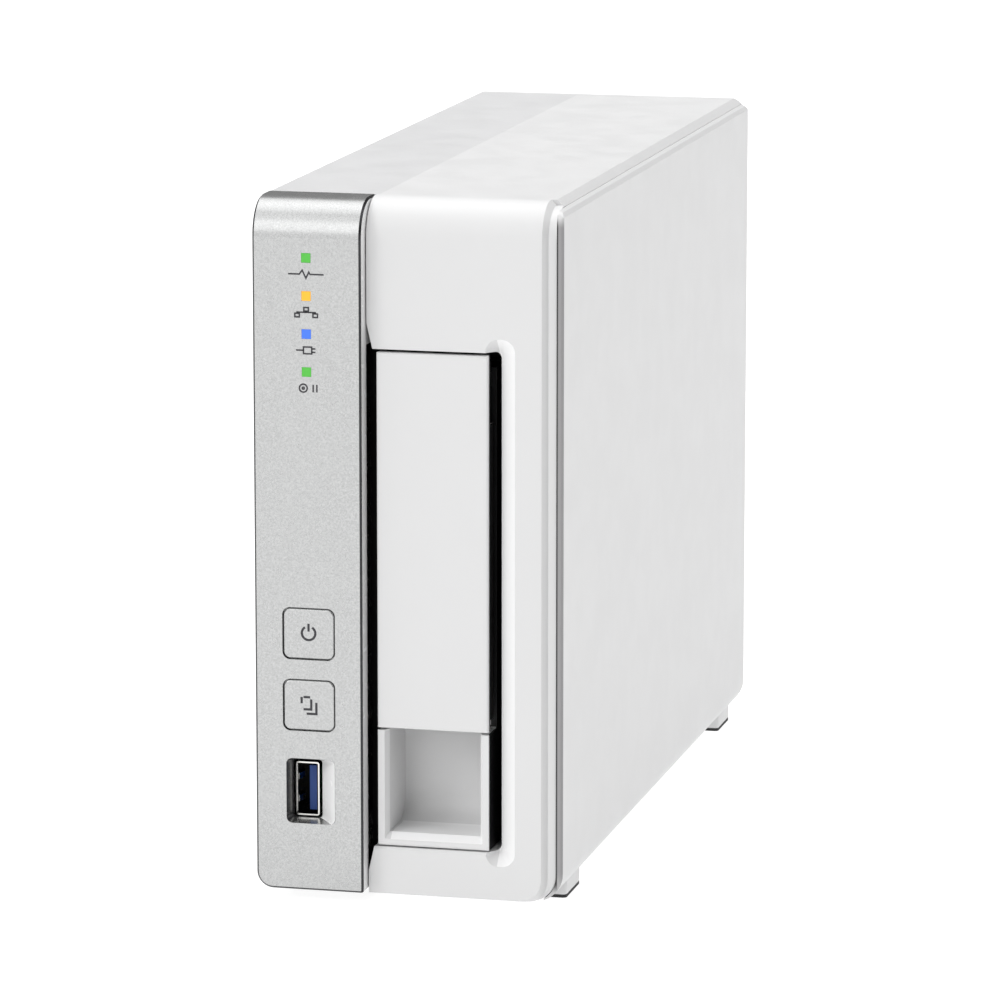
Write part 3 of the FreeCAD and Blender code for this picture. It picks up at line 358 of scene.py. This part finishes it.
def metal(name, colour, roughness, stretch, height_mm=0.002):
    """Bare or plated metal with fine lines or grain drawn out by stretch."""
    paint = Paint(name, colour, roughness, metallic=1.0)
    paint.shade(paint.noise(1.5, 3.0, stretch), 0.9, 1.06)
    paint.vary_roughness(1.2, 0.07, stretch)
    paint.add_height(paint.noise(2.5, 3.0, stretch), height_mm)
    paint.finish_relief()
    return paint


WHITE = (0.695, 0.695, 0.697)
# The next white is painted light: it lightens the bezel's finger scoop and the lit faces of the
# tray's pocket.
PAINTED_LIGHT_WHITE = (0.86, 0.86, 0.862)
GREY = (0.64, 0.64, 0.645)
RIM_GREY = (0.30, 0.295, 0.30)
RIM_DEEP = 0.75               # how far the cover's grey rim reaches to the rear, in millimetres
# The next colour is painted shade: the dark line along the gap between the bezel and the cover.
RIM_GAP_SHADE = (0.03, 0.03, 0.03)
# The next black is painted shade in gaps, behind parts and inside the socket shells, and the real
# black of the tongues' blocks.
SHADE_AND_PLASTIC_BLACK = (0.004, 0.004, 0.0045)
SATIN = 0.40                  # roughness of the shell's plastic


def white_shell():
    return moulded("white_shell", WHITE, SATIN)


def bezel_shell():
    """White plastic, with a painted highlight on the finger scoop beside the bay."""
    paint = moulded("bezel_shell", WHITE, SATIN)
    low, high = box_mm("front_bezel")
    lit_scoop = paint.inside(Vector((high.x - 14, low.y + 0.1, low.z + 4)),
                         Vector((high.x - 5, low.y + 6, high.z - 8)))
    # painted highlight: the scoop's faces are lightened towards white
    paint.mix_to(lit_scoop, PAINTED_LIGHT_WHITE)
    return paint


def grey_shell():
    return moulded("grey_shell", GREY, SATIN)


def cover_shell():
    """The white shell; its front rim is painted grey, the grey fading out near the top and lightening
    near the bottom corner as painted highlights, with a near-black line of painted shade along the
    gap to the bezel.
    """
    paint = moulded("cover_shell", WHITE, 0.46)
    low, high = box_mm("side_cover")
    housing_right = box_mm("front_bezel")[1].x
    x, y, z = paint.axis("X"), paint.axis("Y"), paint.axis("Z")
    # the grey rim on the cover's front; near the top it fades out and near the bottom corner it is
    # lighter, as painted highlights
    front = paint.ramp(y, low.y + RIM_DEEP - 0.15, low.y + RIM_DEEP, 1.0, 0.0)
    top_highlight_fade = paint.ramp(z, high.z - 4.0, high.z - 1.0, 1.0, 0.1)
    corner_highlight_fade = paint.ramp(z, low.z + 1.0, low.z + 8.0, 0.4, 1.0)
    paint.mix_to(paint.both(front, top_highlight_fade, corner_highlight_fade), RIM_GREY)
    # painted shade: a near-black line along the gap to the bezel
    gap_shade = paint.ramp(x, housing_right + 0.40, housing_right + 0.62, 1.0, 0.0)
    above_lip = paint.ramp(z, low.z + 2.0, low.z + 5.0)
    paint.mix_to(paint.both(front, top_highlight_fade, gap_shade, above_lip), RIM_GAP_SHADE)
    return paint


def from_sides(paint, low, high):
    """Distance from the nearer of two corners, across the unit."""
    x = paint.axis("X")
    return paint.maths("MINIMUM", paint.maths("SUBTRACT", x, low.x),
                       paint.maths("SUBTRACT", high.x, x))


def tray_shell():
    """The white shell of the tray's front and lever, with painted shade in black on its sides inside
    the bay and behind the lever, and a painted highlight on the lit faces of the pocket.
    """
    paint = moulded("tray_shell", WHITE, SATIN)
    lever_low, lever_high = box_mm("tray_lever")
    # painted shade: the tray's sides past the front plate are black
    side = paint.maths("LESS_THAN", from_sides(paint, lever_low, lever_high), 0.25)
    deep = paint.ramp(paint.axis("Y"), lever_low.y + 1.1, lever_low.y + 1.3)
    paint.mix_to(paint.both(side, deep), SHADE_AND_PLASTIC_BLACK)
    # painted shade: the tray's front behind the lever is black
    shade_behind_lever = paint.inside(
        Vector((lever_low.x - 1, lever_high.y + 0.5, lever_low.z - 0.3)),
        Vector((lever_high.x + 1, lever_high.y + 20, lever_high.z + 1)))
    paint.mix_to(shade_behind_lever, SHADE_AND_PLASTIC_BLACK)
    front_low, front_high = box_mm("tray_front")
    # painted highlight: the pocket's faces that look left or up are lightened
    pocket = paint.inside(Vector((front_low.x + 3, front_low.y + 0.05, front_low.z + 1)),
                          Vector((front_high.x - 1, front_low.y + 12, lever_low.z - 1)))
    lit = paint.either(paint.facing("X", -0.3), paint.facing("Z", 0.3))
    paint.mix_to(paint.both(pocket, lit), PAINTED_LIGHT_WHITE)
    return paint


def bay_shade_shell():
    """The white shell of the main housing, with painted shade in black on its wall beside the bay."""
    paint = moulded("bay_shade_shell", WHITE, SATIN)
    low, high = box_mm("main_housing")
    bay_left = box_mm("silver_fascia")[1].x
    # painted shade: the wall beside the bay is black
    wall = paint.inside(Vector((low.x - 1, low.y - 1, low.z + 3)),
                        Vector((bay_left + 0.3, high.y + 1, high.z - 3)))
    paint.mix_to(wall, SHADE_AND_PLASTIC_BLACK)
    return paint


SILVER = (0.485, 0.489, 0.488)
# The next dark is painted shade on the fascia's cut edges.
EDGE_SHADE_DARK = (0.045, 0.045, 0.048)
BARE_WHITE = (0.80, 0.80, 0.80)
# The next two are painted light and painted shade in the socket recess.
RECESS_PAINTED_LIGHT = (0.88, 0.88, 0.88)
RECESS_PAINTED_SHADE = (0.05, 0.05, 0.052)


def flaked(name):
    """Silver paint with fine flakes."""
    paint = Paint(name, SILVER, 0.25, metallic=0.85, specular=0.5)
    paint.shade(paint.noise(2.6, 2.0), 0.78, 1.22)
    paint.shade(paint.noise(0.9, 2.0), 0.975, 1.025)
    paint.add_height(paint.noise(2.6, 1.0), 0.0015)
    paint.finish_relief()
    return paint


def silver_paint():
    """The fascia: painted shade on its cut edges and low edge, a side that is bare white plastic with
    painted shade where it runs behind the bezel, and in the socket recess a painted highlight on the
    right slope and painted shade on the left wall.
    """
    paint = flaked("silver_paint")
    paint.vary_roughness(0.3, 0.03)
    # painted shade: the cut edges and the low edge are darkened
    sideways = paint.maths("ABSOLUTE", paint.axis("X", paint.normal))
    edge = paint.both(paint.ramp(sideways, 0.40, 0.60), paint.ramp(sideways, 0.80, 0.92, 1.0, 0.0))
    low, high = box_mm("silver_fascia")
    at_side = paint.ramp(from_sides(paint, low, high), 0.7, 1.0, 1.0, 0.0)
    paint.mix_to(paint.both(edge, at_side), EDGE_SHADE_DARK)
    low_edge = paint.both(paint.facing("Z", -0.25), paint.facing("Y", -0.4),
                          paint.maths("LESS_THAN", paint.axis("Z"), low.z + 5.0))
    paint.mix_to(low_edge, EDGE_SHADE_DARK)
    bay_side = paint.both(paint.maths("GREATER_THAN", paint.axis("X"), high.x - 0.05),
                          paint.facing("X", 0.9))
    paint.mix_to(bay_side, BARE_WHITE)
    # painted shade: the bay side is black where it runs behind the bezel
    bezel_face = box_mm("front_bezel")[0].y
    bay_top = box_mm("tray_lever")[1].z + 1.5
    behind = paint.both(paint.maths("GREATER_THAN", paint.axis("Y"), bezel_face + 0.8),
                        paint.maths("LESS_THAN", paint.axis("Z"), bay_top))
    paint.mix_to(paint.both(bay_side, behind), SHADE_AND_PLASTIC_BLACK)
    # painted light and shade in the socket recess: the right slope is lightened and the left wall
    # darkened
    socket = middle_mm("front_usb_shell")
    recess = paint.inside(Vector((low.x + 5, low.y + 0.12, socket.z - 9)),
                          Vector((high.x - 5, low.y + 6, socket.z + 9)))
    right_slope = paint.both(recess, paint.facing("X", -0.3))
    left_wall = paint.both(recess, paint.facing("X", 0.6))
    paint.mix_to(right_slope, RECESS_PAINTED_LIGHT)
    paint.mix_to(left_wall, RECESS_PAINTED_SHADE)
    paint.bare_where(paint.either(bay_side, paint.either(right_slope, left_wall)))
    return paint


def key_paint():
    """The same silver paint for the buttons."""
    return flaked("key_paint")


PLATING = (0.80, 0.79, 0.76)
SHELL_WALL = Vector((0.0, 0.35, 0.3))
SHELL_FACE_X = 5.4            # the inner face of a shell's far wall, from its near side
TONGUE_REACH = 9.7            # the blue part of a tongue, from its tip


def socket_metal():
    """Plated socket shells, with painted shade in black inside them."""
    paint = metal("socket_metal", PLATING, 0.20, (1, 0.1, 1))
    masks = []
    for name, mouth_side in (("front_usb_shell", 0), ("rear_usb_shells", 1)):
        low, high = box_mm(name)
        inner_low, inner_high = low + SHELL_WALL, high - SHELL_WALL
        inner_low.x, inner_high.x = low.x + 0.3, low.x + SHELL_FACE_X
        if mouth_side:
            inner_low.y -= 1.0
        else:
            inner_high.y += 1.0
        masks.append(paint.inside(inner_low, inner_high))
    # painted shade: the inside of each shell is black and not metal
    shaded_inside = paint.either(*masks)
    paint.mix_to(shaded_inside, SHADE_AND_PLASTIC_BLACK)
    paint.bare_where(shaded_inside)
    return paint


def tongue_blue():
    """Blue contact tongues on black blocks."""
    paint = moulded("blue_insulator", (0.007, 0.055, 0.26), 0.35, 0.004)
    front_low, _ = box_mm("front_usb_tongue")
    _, rear_high = box_mm("rear_usb_tongues")
    y = paint.axis("Y")
    past_front = paint.maths("GREATER_THAN", y, front_low.y + TONGUE_REACH)
    before_rear = paint.maths("LESS_THAN", y, rear_high.y - TONGUE_REACH)
    paint.mix_to(paint.both(past_front, before_rear), SHADE_AND_PLASTIC_BLACK)
    return paint


def lamp(name, colour, lit):
    paint = Paint(name, colour, 0.35, specular=0.4)
    paint.shade(paint.noise(1.2, 2.0), 0.93, 1.03)
    paint.add_height(paint.noise(5.0, 2.0), 0.003)
    paint.finish_relief()
    paint.glow(colour, lit)
    return paint


def circuit_board():
    """Green solder mask over copper tracks, with tinned pads."""
    paint = Paint("circuit_board", (0.012, 0.13, 0.05), 0.32, specular=0.5)
    tracks = paint.ramp(paint.cells(0.45, "Distance", "DISTANCE_TO_EDGE", (1, 1, 1.6)), 0.02, 0.09,
                        1.0, 0.0)
    paint.mix_to(paint.both(tracks, paint.ramp(paint.noise(0.08), 0.45, 0.5)), (0.03, 0.24, 0.09))
    pads = paint.ramp(paint.cells(0.7, "Distance"), 0.16, 0.2, 1.0, 0.0)
    sparse = paint.ramp(paint.axis("X", paint.cells(0.7)), 0.72, 0.74)
    paint.mix_to(paint.both(pads, sparse), (0.70, 0.69, 0.66))
    paint.add_height(tracks, 0.03)
    paint.finish_relief()
    return paint


def powder_steel():
    """Black powder coat, with its orange-peel surface."""
    paint = Paint("black_steel", (0.008, 0.008, 0.009), 0.5, specular=0.3)
    paint.vary_roughness(0.5, 0.06)
    paint.add_height(paint.noise(1.6, 2.0), 0.02)
    paint.finish_relief()
    return paint


def rubber():
    paint = Paint("sole_rubber", (0.035, 0.035, 0.036), 0.75, specular=0.3)
    paint.shade(paint.noise(1.5, 4.0), 0.8, 1.25)
    paint.add_height(paint.noise(3.0, 4.0), 0.03)
    paint.finish_relief()
    return paint


def ribbon_plastic():
    """Flat white cable with its conductors showing as faint lines."""
    paint = moulded("ribbon_plastic", (0.74, 0.74, 0.70), 0.35)
    lines = paint.maths("PINGPONG", paint.axis("Z"), 0.5)
    paint.mix_to(paint.ramp(lines, 0.2, 0.3, 0.0, 0.35), (0.45, 0.42, 0.34))
    return paint


def ink():
    paint = Paint("dark_ink", (0.045, 0.045, 0.05), 0.55, specular=0.3)
    paint.shade(paint.noise(6.0, 2.0), 0.85, 1.15)
    return paint


def gold():
    return metal("gold_contacts", (0.95, 0.70, 0.32), 0.22, (1, 1, 1))


def label_paper():
    paint = Paint("label_paper", (0.72, 0.73, 0.72), 0.55, specular=0.3)
    paint.shade(paint.noise(0.8, 4.0), 0.96, 1.02)
    paint.add_height(paint.noise(1.5, 4.0), 0.004)
    paint.finish_relief()
    return paint


def make_finishes():
    """A material for each of the record's slots."""
    return {
        "white_shell": white_shell(), "grey_shell": grey_shell(), "silver_paint": silver_paint(),
        "lamp_green": lamp("lamp_green", (0.075, 0.42, 0.05), 0.30),
        "lamp_amber": lamp("lamp_amber", (0.84, 0.42, 0.03), 0.34),
        "lamp_blue": lamp("lamp_blue", (0.05, 0.16, 0.70), 0.34),
        "black_plastic": moulded("black_plastic", (0.014, 0.014, 0.015), 0.45, 0.006),
        "blue_insulator": tongue_blue(),
        "plated_metal": metal("plated_metal", PLATING, 0.20, (1, 0.1, 1)),
        "circuit_board": circuit_board(),
        "chip_package": moulded("chip_package", (0.022, 0.022, 0.024), 0.5, 0.006),
        "bare_aluminium": metal("bare_aluminium", (0.78, 0.79, 0.80), 0.32, (1, 0.05, 1)),
        "cast_aluminium": metal("cast_aluminium", (0.52, 0.53, 0.54), 0.45, (1, 1, 1), 0.03),
        "black_steel": powder_steel(),
        "screw_steel": metal("screw_steel", (0.62, 0.61, 0.58), 0.28, (1, 1, 1)),
        "lid_steel": metal("lid_steel", (0.66, 0.66, 0.66), 0.30, (1, 1, 0.04)),
        "sole_rubber": rubber(),
        "fan_plastic": moulded("fan_plastic", (0.012, 0.012, 0.013), 0.42, 0.006),
        "ribbon_plastic": ribbon_plastic(),
    }


def dress_frame(finishes):
    """Gives every CAD node its finish through its object's material slots."""
    slot_of = {part["node"]: part["material_slot"] for part in frame["record"]["subparts"]}
    for name, node in nodes.items():
        for holder in node.material_slots:
            holder.link = "OBJECT"
            holder.material = finishes[slot_of[name]].material
    for paint, names in (
            (cover_shell(), ("side_cover",)), (bay_shade_shell(), ("main_housing",)),
            (bezel_shell(), ("front_bezel",)),
            (tray_shell(), ("tray_front", "tray_lever")),
            (key_paint(), ("power_button", "copy_button")),
            (socket_metal(), ("front_usb_shell", "rear_usb_shells"))):
        for name in names:
            nodes[name].material_slots[0].material = paint.material


# ---------------------------------------------------------------- softened edges
def soften(names, width_mm, segments=2):
    """Rounds the sharp edges a little with modifiers, so that they catch the light."""
    for name in names:
        node = nodes[name]
        weld = node.modifiers.new("weld", "WELD")
        weld.merge_threshold = 0.002 * MM
        planar = node.modifiers.new("planar", "DECIMATE")
        planar.decimate_type = "DISSOLVE"
        planar.angle_limit = math.radians(0.4)
        edge = node.modifiers.new("edge", "BEVEL")
        edge.width = width_mm * MM
        edge.segments = segments
        edge.limit_method = "ANGLE"
        edge.angle_limit = math.radians(38)
        edge.use_clamp_overlap = True
        shading = node.modifiers.new("shading", "WEIGHTED_NORMAL")
        shading.mode = "FACE_AREA"
        shading.keep_sharp = True


# ---------------------------------------------------------------- small pieces
PRINT_T = 0.02                # thickness of the ink
STROKE = 0.38                 # width of a printed line
KEY_STROKE = 0.56             # the same on the two keys


def piece(name, body, paint, build):
    """A new mesh piece: build(shape) fills a bmesh in metres."""
    shape = bmesh.new()
    build(shape)
    bmesh.ops.recalc_face_normals(shape, faces=shape.faces)
    mesh = bpy.data.meshes.new(name)
    shape.to_mesh(mesh)
    shape.free()
    made = bpy.data.objects.new(name, mesh)
    bpy.context.scene.collection.objects.link(made)
    made.data.materials.append(paint.material)
    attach(made, body)
    return made


def stroke(shape, path, width, thickness, place, closed=False):
    """A flat line of even width along path, whose corners are mitred. place(u, v, w) is a point."""
    points = [Vector(p) for p in path]
    count = len(points)
    rings = []
    for i, here in enumerate(points):
        before = points[i - 1] if closed or i > 0 else None
        after = points[(i + 1) % count] if closed or i < count - 1 else None
        ways = []
        if before is not None:
            ways.append((here - before).normalized())
        if after is not None:
            ways.append((after - here).normalized())
        sides = [Vector((-way.y, way.x)) for way in ways]
        side = sum(sides, Vector((0, 0))).normalized()
        reach = width / 2 / side.dot(sides[0])
        left, right = here + side * reach, here - side * reach
        rings.append([shape.verts.new(Vector(place(p.x, p.y, w)) * MM)
                      for p, w in ((left, 0), (left, thickness), (right, thickness), (right, 0))])
    spans = count if closed else count - 1
    for i in range(spans):
        first, second = rings[i], rings[(i + 1) % count]
        for k in range(4):
            m = (k + 1) % 4
            shape.faces.new((first[k], first[m], second[m], second[k]))
    if not closed:
        shape.faces.new(rings[0])
        shape.faces.new(rings[-1])


def arc(centre, radius, start, end, steps=24):
    """Points on an arc, in degrees anticlockwise from the u axis."""
    return [(centre[0] + radius * math.cos(math.radians(start + (end - start) * i / steps)),
             centre[1] + radius * math.sin(math.radians(start + (end - start) * i / steps)))
            for i in range(steps + 1)]


def ring(centre, radius, steps=28):
    return arc(centre, radius, 0, 360, steps)[:-1]


def rectangle(u, v, half_u, half_v):
    return [(u - half_u, v - half_v), (u + half_u, v - half_v), (u + half_u, v + half_v),
            (u - half_u, v + half_v)]


# Each symbol is a list of (path, closed), in millimetres about its own middle.
def pulse_symbol():
    return [([(-4.3, 0), (-1.6, 0), (-0.9, 0.95), (0.0, -0.95), (0.7, 0.5), (1.0, 0), (4.3, 0)],
             False)]


def network_symbol():
    boxes = [(rectangle(u, v, 0.55, 0.42), True)
             for u, v in ((0, 0.72), (-2.2, -0.72), (2.2, -0.72))]
    links = [([(0, 0.25), (0, 0.0)], False),
             ([(-2.2, -0.25), (-2.2, 0), (2.2, 0), (2.2, -0.25)], False)]
    return boxes + links


def plug_symbol():
    return [(rectangle(0.3, 0, 1.0, 0.8), True), ([(-0.7, 0), (-2.5, 0)], False),
            ([(1.3, 0.4), (2.2, 0.4)], False), ([(1.3, -0.4), (2.2, -0.4)], False)]


def disc_symbol():
    return [(ring((-0.8, 0), 0.95), True), (ring((-0.8, 0), 0.25, 12), True),
            ([(1.6, -0.9), (1.6, 0.9)], False), ([(2.5, -0.9), (2.5, 0.9)], False)]


def power_symbol():
    return [(arc((0, 0.2), 1.65, 122, 418), False), ([(0, 0.6), (0, 2.5)], False)]


def copy_symbol():
    """Two overlapping pages, their outlines broken at the corners."""
    return [([(-1.8, 0.45), (-1.8, 2.0)], False), ([(-1.35, 2.0), (0.3, 2.0)], False),
            ([(0.55, 1.5), (0.55, -0.95), (-1.35, -0.95)], False),
            ([(1.8, 0.75), (1.8, -2.0), (-0.6, -2.0)], False)]


def barrel_symbol():
    return [(ring((0, 0), 0.55), True), ([(0.95, 0), (2.1, 0)], False),
            ([(-2.1, 0), (-0.95, 0)], False)]


def print_symbol(name, symbol, centre, rear=False, body="housing", width=STROKE):
    """Prints a symbol on a front face, or on a rear face, round a point in millimetres."""
    def place(u, v, w):
        if rear:
            return centre.x - u, centre.y + w - PRINT_T / 2, centre.z + v
        return centre.x + u, centre.y - w + PRINT_T / 2, centre.z + v

    def build(shape):
        for path, closed in symbol:
            stroke(shape, path, width, PRINT_T * 1.5, place, closed)

    return piece(name, body, INK, build)


LABEL_DROP = 3.85             # a lamp's symbol below its middle


def make_front_prints():
    lamps = (("status", pulse_symbol), ("network", network_symbol), ("usb", plug_symbol),
             ("drive", disc_symbol))
    for name, symbol in lamps:
        centre = middle_mm(name + "_light_pipe")
        centre.y = box_mm("silver_fascia")[0].y
        centre.z -= LABEL_DROP
        print_symbol(name + "_symbol", symbol(), centre)
    for name, symbol in (("power", power_symbol), ("copy", copy_symbol)):
        centre = middle_mm(name + "_button")
        centre.y = box_mm(name + "_button")[0].y
        print_symbol(name + "_symbol", symbol(), centre, body=name + "_key",
                     width=KEY_STROKE)


def bar(shape, low, high, chamfer=0.0):
    """A bar between two corners in millimetres, its long edges chamfered."""
    made = bmesh.ops.create_cube(shape, size=1.0)["verts"]
    size, centre = Vector(high) - Vector(low), (Vector(high) + Vector(low)) / 2
    for vert in made:
        vert.co = Vector([(c + v * s) * MM for c, v, s in zip(centre, vert.co, size)])
    if chamfer:
        edges = list({edge for vert in made for edge in vert.link_edges})
        bmesh.ops.bevel(shape, geom=edges, offset=chamfer * MM, segments=2, profile=0.5,
                        affect="EDGES")


# Contacts of a socket's tongue: four long ones, and five short ones nearer the tip.
CONTACT_T = 0.06
USB_SHELL_W = 13.1
LONG_CONTACTS = (-3.5, -1.0, 1.0, 3.5)
SHORT_CONTACTS = (-3.8, -1.9, 0.0, 1.9, 3.8)


def add_usb_contacts(shape, centre, tip, inward):
    """centre is the tongue's contact face: x its plane, z its middle; tip is its free end's y."""
    face = centre.x
    for z in LONG_CONTACTS:
        y0, y1 = sorted((tip + inward * 2.6, tip + inward * 9.0))
        bar(shape, (face - CONTACT_T, y0, centre.z + z - 0.5),
            (face + 0.05, y1, centre.z + z + 0.5), 0.02)
    for z in SHORT_CONTACTS:
        y0, y1 = sorted((tip + inward * 0.5, tip + inward * 1.7))
        bar(shape, (face - CONTACT_T, y0, centre.z + z - 0.3),
            (face + 0.05, y1, centre.z + z + 0.3), 0.02)


def add_usb_springs(shape, wall_x, mouth, centre_z, inward):
    """Two leaf springs that stand off the shell's inner wall."""
    for z in (-2.7, 2.7):
        rings = []
        for t, rise in ((1.0, 0.05), (2.4, 0.55), (3.4, 0.75), (4.2, 0.55), (6.4, 0.05)):
            y = mouth + inward * t
            rings.append([shape.verts.new(Vector((wall_x + r, y, centre_z + z + dz)) * MM)
                          for r, dz in ((rise - 0.04, -0.75), (rise + 0.08, -0.75),
                                        (rise + 0.08, 0.75), (rise - 0.04, 0.75))])
        for first, second in zip(rings, rings[1:]):
            for k in range(4):
                m = (k + 1) % 4
                shape.faces.new((first[k], first[m], second[m], second[k]))
        shape.faces.new(rings[0])
        shape.faces.new(rings[-1])


def make_usb_details():
    low, high = box_mm("front_usb_tongue")
    centre = (low + high) / 2
    shell_low, _ = box_mm("front_usb_shell")
    tongue_x = centre.x + 0.1
    front = Vector((tongue_x, 0, centre.z))
    piece("front_usb_contacts", "housing", GOLD,
          lambda shape: add_usb_contacts(shape, front, low.y, 1))
    wall = shell_low.x + 0.35
    piece("front_usb_springs", "housing", FINISHES["plated_metal"],
          lambda shape: add_usb_springs(shape, wall, shell_low.y, centre.z, 1))
    low, high = box_mm("rear_usb_tongues")
    shells_low, shells_high = box_mm("rear_usb_shells")
    reach = (shells_high.z - shells_low.z) / 2 - USB_SHELL_W / 2
    middle = (shells_low.z + shells_high.z) / 2
    spots = [middle - reach, middle + reach]

    def rear_contacts(shape):
        for z in spots:
            add_usb_contacts(shape, Vector(((low.x + high.x) / 2 + 0.1, 0, z)), high.y, -1)

    def rear_springs(shape):
        for z in spots:
            add_usb_springs(shape, shells_low.x + 0.35, shells_high.y, z, -1)

    piece("rear_usb_contacts", "housing", GOLD, rear_contacts)
    piece("rear_usb_springs", "housing", FINISHES["plated_metal"], rear_springs)


LAN_WIRES = 8
LAN_PITCH = 1.02


def make_lan_contacts():
    """Eight sprung wires that slope into the network socket from its left wall."""
    low, high = box_mm("lan_jack")
    middle = (low.z + high.z) / 2
    line = ((low.x + 1.35, high.y - 2.2), (low.x + 1.5, high.y - 4.0), (low.x + 3.6, high.y - 10.4))

    def build(shape):
        for i in range(LAN_WIRES):
            z = middle + (i - (LAN_WIRES - 1) / 2) * LAN_PITCH
            stroke(shape, [(y, x) for x, y in line], 0.3, 0.42,
                   lambda u, v, w, z=z: (v, u, z + w - 0.21))

    piece("lan_contacts", "housing", GOLD, build)


def make_lan_lamps():
    """The two small lamps beside the network plug."""
    low, high = box_mm("lan_jack")
    for name, z, slot in (("lan_link_lamp", low.z + 1.0, "lamp_green"),
                          ("lan_busy_lamp", high.z - 1.0, "lamp_amber")):
        piece(name, "housing", FINISHES[slot],
              lambda shape, z=z: bar(shape, (high.x - 3.2, high.y - 0.6, z - 0.7),
                                     (high.x - 0.7, high.y + 0.05, z + 0.7), 0.1))


def make_rear_prints():
    face = cad_high.y / MM
    gap = 3.2
    lan_low, lan_high = box_mm("lan_jack")
    usb_low, usb_high = box_mm("rear_usb_shells")
    dc = middle_mm("dc_jack")
    reset = middle_mm("reset_plunger")
    right = lan_high.x + gap
    marks = (("rear_network_symbol", network_symbol(), right, (lan_low.z + lan_high.z) / 2),
             ("rear_plug_symbol", plug_symbol(), right, (usb_low.z + usb_high.z) / 2),
             ("rear_power_symbol", barrel_symbol(), right, dc.z),
             ("rear_reset_symbol", [(arc((0, 0), 0.8, 60, 340), False)], right - 1.0, reset.z))
    for name, symbol, x, z in marks:
        print_symbol(name, symbol, Vector((x, face, z)), rear=True)


LID_SCREWS = ((8, 8), (8, -8), (-8, 8), (-8, -8), (74, 8), (74, -8))
LABEL_HALF = (21, 34)         # half the label's width and height, without its rounded corners


def make_drive_details():
    """What shows on the drive's lid when the tray is out: screws, breather ring and a blank label."""
    low, high = box_mm("drive_lid")
    face = low.x

    def star_screws(shape):
        for along, up in LID_SCREWS:
            y = (low.y if along > 0 else high.y) + along
            z = (low.z if up > 0 else high.z) + up
            add_star_screw(shape, face, y, z)

    def breather(shape):
        def place(u, v, w):
            return face - w + 0.05, low.y + 118 + u, low.z + 20 + v
        stroke(shape, ring((0, 0), 3.0, 40), 0.8, 0.25, place, closed=True)
        stroke(shape, ring((0, 0), 0.7, 20), 0.3, 0.12, place, closed=True)

    def label(shape):
        corners = arc((0, 0), 1, 0, 90, 5)
        outline = []
        for su, sv, turn in ((1, 1, 0), (-1, 1, 90), (-1, -1, 180), (1, -1, 270)):
            for u, v in corners:
                a = math.radians(turn)
                cu, cv = u * math.cos(a) - v * math.sin(a), u * math.sin(a) + v * math.cos(a)
                outline.append((su * LABEL_HALF[0] + cu, sv * LABEL_HALF[1] + cv))
        rings = [[shape.verts.new(Vector((x, (low.y + 108) + u, (low.z + high.z) / 2 + 8 + v)) * MM)
                  for u, v in outline] for x in (face - 0.08, face + 0.02)]
        for i in range(len(outline)):
            m = (i + 1) % len(outline)
            shape.faces.new((rings[0][i], rings[0][m], rings[1][m], rings[1][i]))
        shape.faces.new(rings[0])
        shape.faces.new(list(reversed(rings[1])))

    piece("drive_lid_screws", "tray", FINISHES["screw_steel"], star_screws)
    piece("drive_breather", "tray", FINISHES["cast_aluminium"], breather)
    piece("drive_label", "tray", LABEL, label)


def add_star_screw(shape, face, y, z, radius=2.2, height=0.6, points=6):
    """A low round head with a six-lobed socket, on a face that looks along -X."""
    steps = points * 6
    rings = []
    for r, x, lobed in ((radius, 0.05, 0), (radius, height * 0.7, 0), (radius * 0.86, height, 0),
                        (radius * 0.46, height, 1), (radius * 0.42, height * 0.25, 1)):
        ring_verts = []
        for i in range(steps):
            a = 2 * math.pi * i / steps
            reach = r * (1 + 0.14 * math.cos(points * a) * lobed)
            spot = (face - x, y + reach * math.cos(a), z + reach * math.sin(a))
            ring_verts.append(shape.verts.new(Vector(spot) * MM))
        rings.append(ring_verts)
    for first, second in zip(rings, rings[1:]):
        for i in range(steps):
            m = (i + 1) % steps
            shape.faces.new((first[i], first[m], second[m], second[i]))
    shape.faces.new(rings[0])
    shape.faces.new(rings[-1])


# ---------------------------------------------------------------- the scene
INK = ink()
GOLD = gold()
LABEL = label_paper()
FINISHES = make_finishes()
dress_frame(FINISHES)
soften(("front_bezel", "tray_front", "tray_lever", "side_cover", "main_housing", "left_housing",
        "rear_panel"), 0.22)
soften(("silver_fascia", "power_button", "copy_button", "lan_jack", "dc_jack", "foot_bodies"), 0.08)
make_front_prints()
make_usb_details()
make_lan_contacts()
make_lan_lamps()
make_rear_prints()
make_drive_details()

make_camera()
make_floor()
make_world()
make_softbox("key", (-1.75, -1.8, 1.5), 18.0)
make_softbox("overhead", (0.45, 1.0, 2.3), 13.0)

bpy.context.scene.view_settings.view_transform = "Standard"
bpy.context.view_layer.update()
